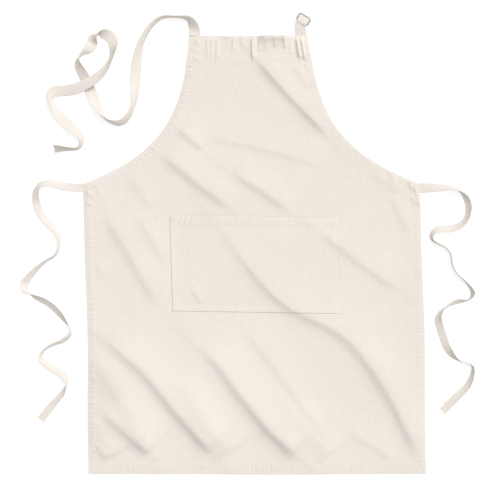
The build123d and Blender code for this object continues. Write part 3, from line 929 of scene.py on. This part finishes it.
fold_far = stitch_far + 15.3 * MM
# Distance from the bib edge and height, up the front and back down behind.
tab_side_view = read_spline([
    (0, 1.30 * MM, 0), (9 * MM, 2.4 * MM, 0), (19 * MM, 4.1 * MM, 0), (stitch_far, 3.9 * MM, 0),
    (bar_far - 2 * MM, over_bars, 0), (bar_far + 2 * MM, over_bars, 0), (bar_far + 6 * MM, 5.6 * MM, 0),
    (fold_far - 0.6 * MM, 4.9 * MM, 0), (fold_far, 3.9 * MM, 0), (fold_far - 0.6 * MM, 2.7 * MM, 0),
    (bar_far + 6 * MM, 1.4 * MM, 0), (bar_far + 2 * MM, under_bars, 0), (bar_far - 2 * MM, under_bars, 0),
    (stitch_far, 2.9 * MM, 0), (19 * MM, 2.7 * MM, 0), (9 * MM, 0.9 * MM, 0), (0, 0.45 * MM, 0),
])
tab_side_view = evenly(tab_side_view, tab_points)
tab_line = np.stack([
    np.interp(tab_side_view[:, 0], tab_plan_far, tab_plan[:, 0]),
    np.interp(tab_side_view[:, 0], tab_plan_far, tab_plan[:, 1]), tab_side_view[:, 1],
], -1)
plan_heading = unit(np.gradient(tab_plan[:, :2], axis=0))
tab_heading = np.stack([
    np.interp(tab_side_view[:, 0], tab_plan_far, plan_heading[:, axis]) for axis in (0, 1)
], -1)
tab_across = unit(np.stack([tab_heading[:, 1], -tab_heading[:, 0], np.zeros(len(tab_heading))], -1))
tab_face = np.cross(tab_across, unit(np.gradient(tab_line, axis=0)))
tab_span = tab_width * (1 + tab_flare * np.exp(-tab_side_view[:, 0] / tab_flare_reach))
tab_rings = swept(tab_line, tab_across, tab_face, tape_section, tab_span[:, None, None], tab_ply)
pieces["ring_tab"] = tube(
    "ring_tab_tape", tab_rings, travelled(tab_line), travelled(tape_section * (tab_width, tab_ply))
)


# ---- seams ----
def box_seam(centre, width, height):
    """A stitched rectangle on a hem."""
    x, y = centre
    corners = [(x - width / 2, y - height / 2), (x + width / 2, y - height / 2),
               (x + width / 2, y + height / 2), (x - width / 2, y + height / 2)]
    runs = []
    for start, end in zip(corners, corners[1:] + corners[:1]):
        line = straight(start, end)
        runs.append(facing_up(at_height(line, lift(line[:, 0], line[:, 1]) + 1.02 * hem_height)))
    return runs


def on_pocket(*corners):
    """Straight runs of seam from corner to corner of the pocket front, just above it."""
    runs = [straight(start, end) for start, end in zip(corners, corners[1:])]
    return [facing_up(pocket_surface(run, -0.12 * MM)) for run in runs]


def trimmed(seam, start, end):
    """A seam without a stretch at each end."""
    line, up = seam
    far = travelled(line)
    kept = (far > start) & (far < far[-1] - end)
    return line[kept], up[kept]


root_y = bib_top - 15 * MM
strap_root_x = strap_exit[0]
left_root_x = left_exit[0] + 7 * MM
right_root_x = right_exit[0] - 7 * MM
tie_y = left_exit[1]
pocket_seam_left = pocket_left + pocket_edge_inset
pocket_seam_right = pocket_right - pocket_edge_inset
pocket_seam_foot = pocket_foot + pocket_edge_inset
pocket_hem_y = pocket_mouth - pocket_hem_seam
seam_runs = {
    "armhole_stitching": [trimmed(seams[f"{word}_armhole"], 3 * MM, 15 * MM) for word in ("left", "right")],
    "side_hem_stitching": [trimmed(seams[f"{word}_side"], 18 * MM, 1 * MM) for word in ("left", "right")],
    "bottom_hem_stitching": [trimmed(seams["bottom"], 1.5 * MM, 1.5 * MM)],
    "facing_stitching": [seams["facing"]],
    "pocket_edge_stitching": on_pocket(
        (pocket_seam_left, pocket_mouth - 1 * MM), (pocket_seam_left, pocket_seam_foot),
        (pocket_seam_right, pocket_seam_foot), (pocket_seam_right, pocket_mouth - 1 * MM)
    ),
    "pocket_hem_stitching": on_pocket(
        (pocket_seam_left + 2 * MM, pocket_hem_y), (pocket_seam_right - 2 * MM, pocket_hem_y)
    ),
    "neck_strap_box_stitch": box_seam((strap_root_x + 1 * MM, root_y), strap_width - 7 * MM, 22 * MM),
    "ring_tab_box_stitch": box_seam((tab_x, root_y), tab_width - 6 * MM, 22 * MM),
    "tie_box_stitches": (
        box_seam((left_root_x, tie_y), 7 * MM, 10 * MM) + box_seam((right_root_x, tie_y), 7 * MM, 10 * MM)
    ),
}
stitch_index = int(np.argmin(abs(tab_side_view[: len(tab_side_view) // 2, 0] - stitch_far)))
across_tab = np.linspace(-0.36, 0.36, 12)[:, None] * tab_width * tab_across[stitch_index][None]
cross_line = tab_line[stitch_index] + across_tab + (0, 0, tab_ply / 2 + 0.08 * MM)
seam_runs["ring_tab_cross_stitch"] = [facing_up(cross_line)]
bar_tack_top = pocket_mouth - 2 * MM
bar_tack_length = 9 * MM
bar_tacks = []
for x in (pocket_seam_left, pocket_seam_right):
    for aside in (-0.8 * MM, 0.8 * MM):
        bar_tacks += on_pocket((x + aside, bar_tack_top), (x + aside, bar_tack_top - bar_tack_length))

# One tree sews every seam: it walks the line, and lays a short thread at each step.
stitch_tree = bpy.data.node_groups.new("sew_a_seam", "GeometryNodeTree")
sockets = stitch_tree.interface
sockets.new_socket("Seam Line", in_out="INPUT", socket_type="NodeSocketGeometry")
stitch_sizes = {
    "Stitch Pitch": 3.1 * MM, "Stitch Length": 2.4 * MM,
    "Thread Width": 0.55 * MM, "Thread Height": 0.40 * MM, "Turn Across": 0.0,
}
for input_name, default in stitch_sizes.items():
    sockets.new_socket(input_name, in_out="INPUT", socket_type="NodeSocketFloat").default_value = default
sockets.new_socket("Thread Finish", in_out="INPUT", socket_type="NodeSocketMaterial")
sockets.new_socket("Stitches", in_out="OUTPUT", socket_type="NodeSocketGeometry")
nodes, links = stitch_tree.nodes, stitch_tree.links
entry = nodes.new("NodeGroupInput")
entry.label = "seam and sizes"
walk = nodes.new("GeometryNodeMeshToCurve")
walk.label = "seam as a line"
pitch = nodes.new("GeometryNodeResampleCurve")
pitch.label = "one point for each stitch"
pitch.mode = "LENGTH"
heading = nodes.new("GeometryNodeInputTangent")
heading.label = "way the seam runs"
upward = nodes.new("GeometryNodeInputNamedAttribute")
upward.label = "way the cloth faces"
upward.data_type = "FLOAT_VECTOR"
upward.inputs["Name"].default_value = "cloth_up"
aim = nodes.new("FunctionNodeAlignRotationToVector")
aim.label = "point along the seam"
aim.axis = "X"
stand = nodes.new("FunctionNodeAlignRotationToVector")
stand.label = "lie on the cloth"
stand.axis = "Z"
stand.pivot_axis = "X"
turn = nodes.new("FunctionNodeRotateRotation")
turn.label = "turn for a bar tack"
turn.rotation_space = "LOCAL"
turn_axis = nodes.new("FunctionNodeAxisAngleToRotation")
turn_axis.label = "angle to the seam"
turn_axis.inputs["Axis"].default_value = (0, 0, 1)
bead = nodes.new("GeometryNodeMeshUVSphere")
bead.label = "one loop of thread"
bead.inputs["Segments"].default_value = 6
bead.inputs["Rings"].default_value = 5
bead.inputs["Radius"].default_value = 0.5
bead_turn = nodes.new("GeometryNodeTransform")
bead_turn.label = "poles at the thread's ends"
bead_turn.inputs["Rotation"].default_value = (0, pi / 2, 0)
bead_size = nodes.new("ShaderNodeCombineXYZ")
bead_size.label = "length, width and height"
bead_scale = nodes.new("GeometryNodeTransform")
bead_scale.label = "stitch to size"
place_all = nodes.new("GeometryNodeInstanceOnPoints")
place_all.label = "stitches along the seam"
realize = nodes.new("GeometryNodeRealizeInstances")
soft = nodes.new("GeometryNodeSetShadeSmooth")
paint = nodes.new("GeometryNodeSetMaterial")
leave = nodes.new("NodeGroupOutput")
for column, node in enumerate((
    entry, walk, pitch, heading, upward, aim, stand, turn_axis, turn, bead, bead_turn, bead_size, bead_scale,
    place_all, realize, soft, paint, leave
)):
    node.location = (190 * column, -220 * (column % 3))
links.new(entry.outputs["Seam Line"], walk.inputs["Mesh"])
links.new(walk.outputs["Curve"], pitch.inputs["Curve"])
links.new(entry.outputs["Stitch Pitch"], pitch.inputs["Length"])
links.new(heading.outputs["Tangent"], aim.inputs["Vector"])
links.new(aim.outputs["Rotation"], stand.inputs["Rotation"])
links.new(upward.outputs["Attribute"], stand.inputs["Vector"])
links.new(entry.outputs["Turn Across"], turn_axis.inputs["Angle"])
links.new(stand.outputs["Rotation"], turn.inputs["Rotation"])
links.new(turn_axis.outputs["Rotation"], turn.inputs["Rotate By"])
links.new(entry.outputs["Stitch Length"], bead_size.inputs["X"])
links.new(entry.outputs["Thread Width"], bead_size.inputs["Y"])
links.new(entry.outputs["Thread Height"], bead_size.inputs["Z"])
links.new(bead.outputs["Mesh"], bead_turn.inputs["Geometry"])
links.new(bead_turn.outputs["Geometry"], bead_scale.inputs["Geometry"])
links.new(bead_size.outputs["Vector"], bead_scale.inputs["Scale"])
links.new(pitch.outputs["Curve"], place_all.inputs["Points"])
links.new(bead_scale.outputs["Geometry"], place_all.inputs["Instance"])
links.new(turn.outputs["Rotation"], place_all.inputs["Rotation"])
links.new(place_all.outputs["Instances"], realize.inputs["Geometry"])
links.new(realize.outputs["Geometry"], soft.inputs["Geometry"])
links.new(soft.outputs["Geometry"], paint.inputs["Geometry"])
links.new(entry.outputs["Thread Finish"], paint.inputs["Material"])
links.new(paint.outputs["Geometry"], leave.inputs["Stitches"])
stitch_sockets = {item.name: item.identifier for item in sockets.items_tree if item.in_out == "INPUT"}


def sew(name, runs, finish, **sizes):
    """Thread along several runs of seam, as one plain mesh."""
    points = np.concatenate([line for line, up in runs])
    ups = np.concatenate([up for line, up in runs])
    edges = []
    first = 0
    for line, up in runs:
        edges += [(first + step, first + step + 1) for step in range(len(line) - 1)]
        first += len(line)
    mesh = bpy.data.meshes.new("seam")
    mesh.from_pydata(points.tolist(), edges, [])
    mesh.attributes.new("cloth_up", "FLOAT_VECTOR", "POINT").data.foreach_set("vector", ups.ravel())
    guide = bpy.data.objects.new("seam", mesh)
    bpy.context.scene.collection.objects.link(guide)
    modifier = guide.modifiers.new("sew", "NODES")
    modifier.node_group = stitch_tree
    modifier[stitch_sockets["Thread Finish"]] = finish
    for socket_name, value in sizes.items():
        modifier[stitch_sockets[socket_name]] = value
    evaluated = guide.evaluated_get(bpy.context.evaluated_depsgraph_get())
    sewn = bpy.data.meshes.new_from_object(evaluated)
    sewn.name = name
    bpy.data.objects.remove(guide)
    bpy.data.meshes.remove(mesh)
    return link(name, sewn)


# ---- finishes ----
def empty_finish(name):
    """A material without nodes, and its lists of nodes and links."""
    material = bpy.data.materials.new(name)
    material.use_nodes = True
    material.node_tree.nodes.clear()
    return material, material.node_tree.nodes, material.node_tree.links


def cloth_finish(name, colour, shade, threads, weave_bump, slub_bump, crinkle_bump, sheen):
    """Washed cotton, woven square: threads is how many lie in a metre."""
    material, nodes, links = empty_finish(name)
    frames = {}
    for title in ("weave", "slubs and crinkle", "washed colour", "surface"):
        frames[title] = nodes.new("NodeFrame")
        frames[title].label = title

    place = nodes.new("ShaderNodeUVMap")
    place.label = "cloth laid flat, in metres"
    place.uv_map = "cloth"
    body_place = nodes.new("ShaderNodeTexCoord")
    body_place.label = "place on the apron"

    warp = nodes.new("ShaderNodeTexWave")
    warp.label = "warp threads"
    warp.bands_direction = "X"
    weft = nodes.new("ShaderNodeTexWave")
    weft.label = "weft threads"
    weft.bands_direction = "Y"
    for yarns in (warp, weft):
        yarns.wave_type = "BANDS"
        yarns.inputs["Scale"].default_value = threads * pi / 10
        yarns.inputs["Distortion"].default_value = 1.2
        yarns.inputs["Detail"].default_value = 2.0
        yarns.inputs["Detail Scale"].default_value = 0.4
    crossing = nodes.new("ShaderNodeMath")
    crossing.label = "threads over and under"
    crossing.operation = "MULTIPLY"
    weave_height = nodes.new("ShaderNodeBump")
    weave_height.label = "weave"
    weave_height.inputs["Strength"].default_value = weave_bump
    weave_height.inputs["Distance"].default_value = 0.3 * MM

    stretch = nodes.new("ShaderNodeMapping")
    stretch.label = "long thin slubs along the weft"
    stretch.inputs["Scale"].default_value = (1, 9, 1)
    slub = nodes.new("ShaderNodeTexNoise")
    slub.label = "slubs"
    slub.inputs["Scale"].default_value = 70
    slub.inputs["Detail"].default_value = 3
    slub.inputs["Roughness"].default_value = 0.6
    slub_height = nodes.new("ShaderNodeBump")
    slub_height.label = "slubs stand up"
    slub_height.inputs["Strength"].default_value = slub_bump
    slub_height.inputs["Distance"].default_value = 0.5 * MM
    crinkle = nodes.new("ShaderNodeTexNoise")
    crinkle.label = "crinkle left by washing"
    crinkle.inputs["Scale"].default_value = 85
    crinkle.inputs["Detail"].default_value = 6
    crinkle.inputs["Roughness"].default_value = 0.62
    crinkle.inputs["Distortion"].default_value = 0.5
    crinkle_height = nodes.new("ShaderNodeBump")
    crinkle_height.label = "crinkle height"
    crinkle_height.inputs["Strength"].default_value = crinkle_bump
    crinkle_height.inputs["Distance"].default_value = 1.5 * MM

    cloud = nodes.new("ShaderNodeTexNoise")
    cloud.label = "uneven wash"
    cloud.inputs["Scale"].default_value = 9
    cloud.inputs["Detail"].default_value = 4
    cloud.inputs["Roughness"].default_value = 0.55
    cloud_share = nodes.new("ShaderNodeMapRange")
    cloud_share.label = "how much the wash shows"
    cloud_share.inputs["From Min"].default_value = 0.3
    cloud_share.inputs["From Max"].default_value = 0.7
    wash = nodes.new("ShaderNodeMix")
    wash.label = "washed cream"
    wash.data_type = "RGBA"
    wash.inputs["A"].default_value = (*colour, 1)
    wash.inputs["B"].default_value = (*shade, 1)
    fleck = nodes.new("ShaderNodeTexNoise")
    fleck.label = "flecks of unbleached seed"
    fleck.inputs["Scale"].default_value = 420
    fleck.inputs["Detail"].default_value = 2
    fleck_share = nodes.new("ShaderNodeMapRange")
    fleck_share.label = "few flecks"
    fleck_share.inputs["From Min"].default_value = 0.62
    fleck_share.inputs["From Max"].default_value = 0.80
    fleck_share.inputs["To Max"].default_value = 0.35
    flecked = nodes.new("ShaderNodeMix")
    flecked.label = "flecked cream"
    flecked.data_type = "RGBA"
    flecked.inputs["B"].default_value = (shade[0] * 0.82, shade[1] * 0.76, shade[2] * 0.68, 1)
    # Painted shade between the threads and painted light on their crowns: the weave pattern scales the cloth
    # colour from 0.90 to 1.03.
    painted_thread_shade = nodes.new("ShaderNodeMapRange")
    painted_thread_shade.label = "darker between threads"
    painted_thread_shade.inputs["To Min"].default_value = 0.90
    painted_thread_shade.inputs["To Max"].default_value = 1.03
    woven = nodes.new("ShaderNodeVectorMath")
    woven.label = "colour of the weave"
    woven.operation = "SCALE"

    cotton = nodes.new("ShaderNodeBsdfPrincipled")
    cotton.label = "cotton"
    cotton.inputs["Roughness"].default_value = 0.92
    cotton.inputs["Specular IOR Level"].default_value = 0.18
    cotton.inputs["Sheen Weight"].default_value = sheen
    cotton.inputs["Sheen Roughness"].default_value = 0.55
    output = nodes.new("ShaderNodeOutputMaterial")

    links.new(place.outputs["UV"], warp.inputs["Vector"])
    links.new(place.outputs["UV"], weft.inputs["Vector"])
    links.new(warp.outputs["Fac"], crossing.inputs[0])
    links.new(weft.outputs["Fac"], crossing.inputs[1])
    links.new(crossing.outputs["Value"], weave_height.inputs["Height"])
    links.new(place.outputs["UV"], stretch.inputs["Vector"])
    links.new(stretch.outputs["Vector"], slub.inputs["Vector"])
    links.new(slub.outputs["Fac"], slub_height.inputs["Height"])
    links.new(body_place.outputs["Object"], crinkle.inputs["Vector"])
    links.new(crinkle.outputs["Fac"], crinkle_height.inputs["Height"])
    links.new(crinkle_height.outputs["Normal"], slub_height.inputs["Normal"])
    links.new(slub_height.outputs["Normal"], weave_height.inputs["Normal"])
    links.new(weave_height.outputs["Normal"], cotton.inputs["Normal"])
    links.new(body_place.outputs["Object"], cloud.inputs["Vector"])
    links.new(cloud.outputs["Fac"], cloud_share.inputs["Value"])
    links.new(cloud_share.outputs["Result"], wash.inputs["Factor"])
    links.new(place.outputs["UV"], fleck.inputs["Vector"])
    links.new(fleck.outputs["Fac"], fleck_share.inputs["Value"])
    links.new(fleck_share.outputs["Result"], flecked.inputs["Factor"])
    links.new(wash.outputs["Result"], flecked.inputs["A"])
    links.new(crossing.outputs["Value"], painted_thread_shade.inputs["Value"])
    links.new(flecked.outputs["Result"], woven.inputs["Vector"])
    links.new(painted_thread_shade.outputs["Result"], woven.inputs["Scale"])
    links.new(woven.outputs["Vector"], cotton.inputs["Base Color"])
    links.new(cotton.outputs["BSDF"], output.inputs["Surface"])

    groups = (
        ("weave", (warp, weft, crossing, weave_height)),
        ("slubs and crinkle", (stretch, slub, slub_height, crinkle, crinkle_height)),
        ("washed colour", (cloud, cloud_share, wash, fleck, fleck_share, flecked, painted_thread_shade, woven)),
        ("surface", (cotton, output)),
    )
    place.location = (-1500, 300)
    body_place.location = (-1500, 0)
    for row, (title, members) in enumerate(groups):
        for column, node in enumerate(members):
            node.parent = frames[title]
            node.location = (-1200 + 230 * column, 600 - 420 * row)
    return material


canvas = cloth_finish(
    "washed_canvas", colour=(0.817, 0.761, 0.704), shade=(0.794, 0.734, 0.673), threads=1100,
    weave_bump=0.55, slub_bump=0.5, crinkle_bump=0.55, sheen=0.12
)
tape = cloth_finish(
    "pressed_canvas_tape", colour=(0.808, 0.757, 0.704), shade=(0.782, 0.727, 0.668), threads=1300,
    weave_bump=0.5, slub_bump=0.3, crinkle_bump=0.25, sheen=0.12
)

thread, nodes, links = empty_finish("cream_cotton_thread")
thread_frame = nodes.new("NodeFrame")
thread_frame.label = "twist of the thread"
thread_place = nodes.new("ShaderNodeTexCoord")
thread_place.label = "place on the apron"
twist = nodes.new("ShaderNodeTexNoise")
twist.label = "plies catching light"
twist.inputs["Scale"].default_value = 900
twist.inputs["Detail"].default_value = 2
twist_colour = nodes.new("ShaderNodeMix")
twist_colour.label = "thread colour"
twist_colour.data_type = "RGBA"
twist_colour.inputs["A"].default_value = (0.70, 0.63, 0.55, 1)
twist_colour.inputs["B"].default_value = (0.83, 0.77, 0.69, 1)
twist_height = nodes.new("ShaderNodeBump")
twist_height.label = "plies"
twist_height.inputs["Strength"].default_value = 0.4
twist_height.inputs["Distance"].default_value = 0.1 * MM
thread_cotton = nodes.new("ShaderNodeBsdfPrincipled")
thread_cotton.label = "mercerised cotton"
thread_cotton.inputs["Roughness"].default_value = 0.62
thread_cotton.inputs["Specular IOR Level"].default_value = 0.3
thread_cotton.inputs["Sheen Weight"].default_value = 0.15
thread_output = nodes.new("ShaderNodeOutputMaterial")
links.new(thread_place.outputs["Object"], twist.inputs["Vector"])
links.new(twist.outputs["Fac"], twist_colour.inputs["Factor"])
links.new(twist.outputs["Fac"], twist_height.inputs["Height"])
links.new(twist_colour.outputs["Result"], thread_cotton.inputs["Base Color"])
links.new(twist_height.outputs["Normal"], thread_cotton.inputs["Normal"])
links.new(thread_cotton.outputs["BSDF"], thread_output.inputs["Surface"])
for column, node in enumerate((
    thread_place, twist, twist_colour, twist_height, thread_cotton, thread_output
)):
    node.parent = thread_frame
    node.location = (230 * column, 0)

nickel, nodes, links = empty_finish("satin_nickel_wire")
wear_frame = nodes.new("NodeFrame")
wear_frame.label = "wear and tarnish"
metal_place = nodes.new("ShaderNodeTexCoord")
metal_place.label = "place on the apron"
tarnish = nodes.new("ShaderNodeTexNoise")
tarnish.label = "tarnish in patches"
tarnish.inputs["Scale"].default_value = 320
tarnish.inputs["Detail"].default_value = 4
tarnish_colour = nodes.new("ShaderNodeMix")
tarnish_colour.label = "nickel colour"
tarnish_colour.data_type = "RGBA"
tarnish_colour.inputs["A"].default_value = (0.52, 0.50, 0.47, 1)
tarnish_colour.inputs["B"].default_value = (0.33, 0.31, 0.285, 1)
rub = nodes.new("ShaderNodeMapRange")
rub.label = "rubbed smoother in places"
rub.inputs["To Min"].default_value = 0.26
rub.inputs["To Max"].default_value = 0.46
scuff = nodes.new("ShaderNodeTexNoise")
scuff.label = "fine scuffs"
scuff.inputs["Scale"].default_value = 2600
scuff.inputs["Detail"].default_value = 3
scuff_height = nodes.new("ShaderNodeBump")
scuff_height.label = "scuff depth"
scuff_height.inputs["Strength"].default_value = 0.15
scuff_height.inputs["Distance"].default_value = 0.05 * MM
metal = nodes.new("ShaderNodeBsdfPrincipled")
metal.label = "plated steel wire"
metal.inputs["Metallic"].default_value = 1.0
metal_output = nodes.new("ShaderNodeOutputMaterial")
links.new(metal_place.outputs["Object"], tarnish.inputs["Vector"])
links.new(metal_place.outputs["Object"], scuff.inputs["Vector"])
links.new(tarnish.outputs["Fac"], tarnish_colour.inputs["Factor"])
links.new(tarnish.outputs["Fac"], rub.inputs["Value"])
links.new(scuff.outputs["Fac"], scuff_height.inputs["Height"])
links.new(tarnish_colour.outputs["Result"], metal.inputs["Base Color"])
links.new(rub.outputs["Result"], metal.inputs["Roughness"])
links.new(scuff_height.outputs["Normal"], metal.inputs["Normal"])
links.new(metal.outputs["BSDF"], metal_output.inputs["Surface"])
for column, node in enumerate((
    metal_place, tarnish, tarnish_colour, rub, scuff, scuff_height, metal, metal_output
)):
    node.parent = wear_frame
    node.location = (230 * column, 0)

# ---- thread on every seam ----
for node, runs in seam_runs.items():
    pieces[node] = sew(f"{node}_thread", runs, thread)
pieces["pocket_bar_tacks"] = sew(
    "pocket_bar_tacks_thread", bar_tacks, thread,
    **{"Stitch Pitch": 0.45 * MM, "Stitch Length": 1.7 * MM, "Turn Across": pi / 2}
)

# ---- each piece: finish, body and the node it stands for ----
tape_nodes = (
    "neck_strap_root", "neck_strap", "left_tie_root", "left_waist_tie", "right_tie_root", "right_waist_tie",
    "ring_tab_root", "ring_tab",
)
for node, piece in pieces.items():
    finish, slot = canvas, "canvas"
    if node in tape_nodes:
        finish, slot = tape, "tape"
    elif node.endswith(("stitching", "stitch", "stitches", "tacks")):
        finish, slot = thread, "thread"
    piece.data.materials.clear()
    piece.data.materials.append(finish)
    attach(piece, "apron")
    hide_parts(node)
for node in ("upper_d_ring", "lower_d_ring"):
    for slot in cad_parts[node].material_slots:
        slot.material = nickel

# ---- floor and light ----
floor_size = 14
floor_mesh = bpy.data.meshes.new("floor")
floor_mesh.from_pydata(
    [(-floor_size, -floor_size, 0), (floor_size, -floor_size, 0), (floor_size, floor_size, 0),
     (-floor_size, floor_size, 0)], [], [(0, 1, 2, 3)]
)
floor = link("floor", floor_mesh, smooth=False)
paper = bpy.data.materials.new("white_paper_floor")
paper.use_nodes = True
paper_surface = paper.node_tree.nodes["Principled BSDF"]
paper_surface.inputs["Base Color"].default_value = (0.30, 0.30, 0.30, 1)
paper_surface.inputs["Roughness"].default_value = 0.9
paper_surface.inputs["Specular IOR Level"].default_value = 0.1
paper_surface.inputs["Emission Color"].default_value = (1, 1, 1, 1)
paper_surface.inputs["Emission Strength"].default_value = 0.75
floor_mesh.materials.append(paper)

key_height = radians(54)
key_side = radians(48)
key_softness = radians(50)
key_data = bpy.data.lights.new("key", "SUN")
key_data.energy = 2.62
key_data.angle = key_softness
key_data.color = (1.0, 0.99, 0.975)
key = bpy.data.objects.new("key", key_data)
key_from = Vector((cos(key_height) * cos(key_side), cos(key_height) * sin(key_side), sin(key_height)))
key.rotation_euler = key_from.to_track_quat("Z", "Y").to_euler()
bpy.context.scene.collection.objects.link(key)

room = bpy.data.worlds.new("soft_room")
room.use_nodes = True
bpy.context.scene.world = room
room_light = room.node_tree.nodes["Background"]
room_light.inputs["Color"].default_value = (1.0, 1.0, 1.0, 1)
room_light.inputs["Strength"].default_value = 0.53
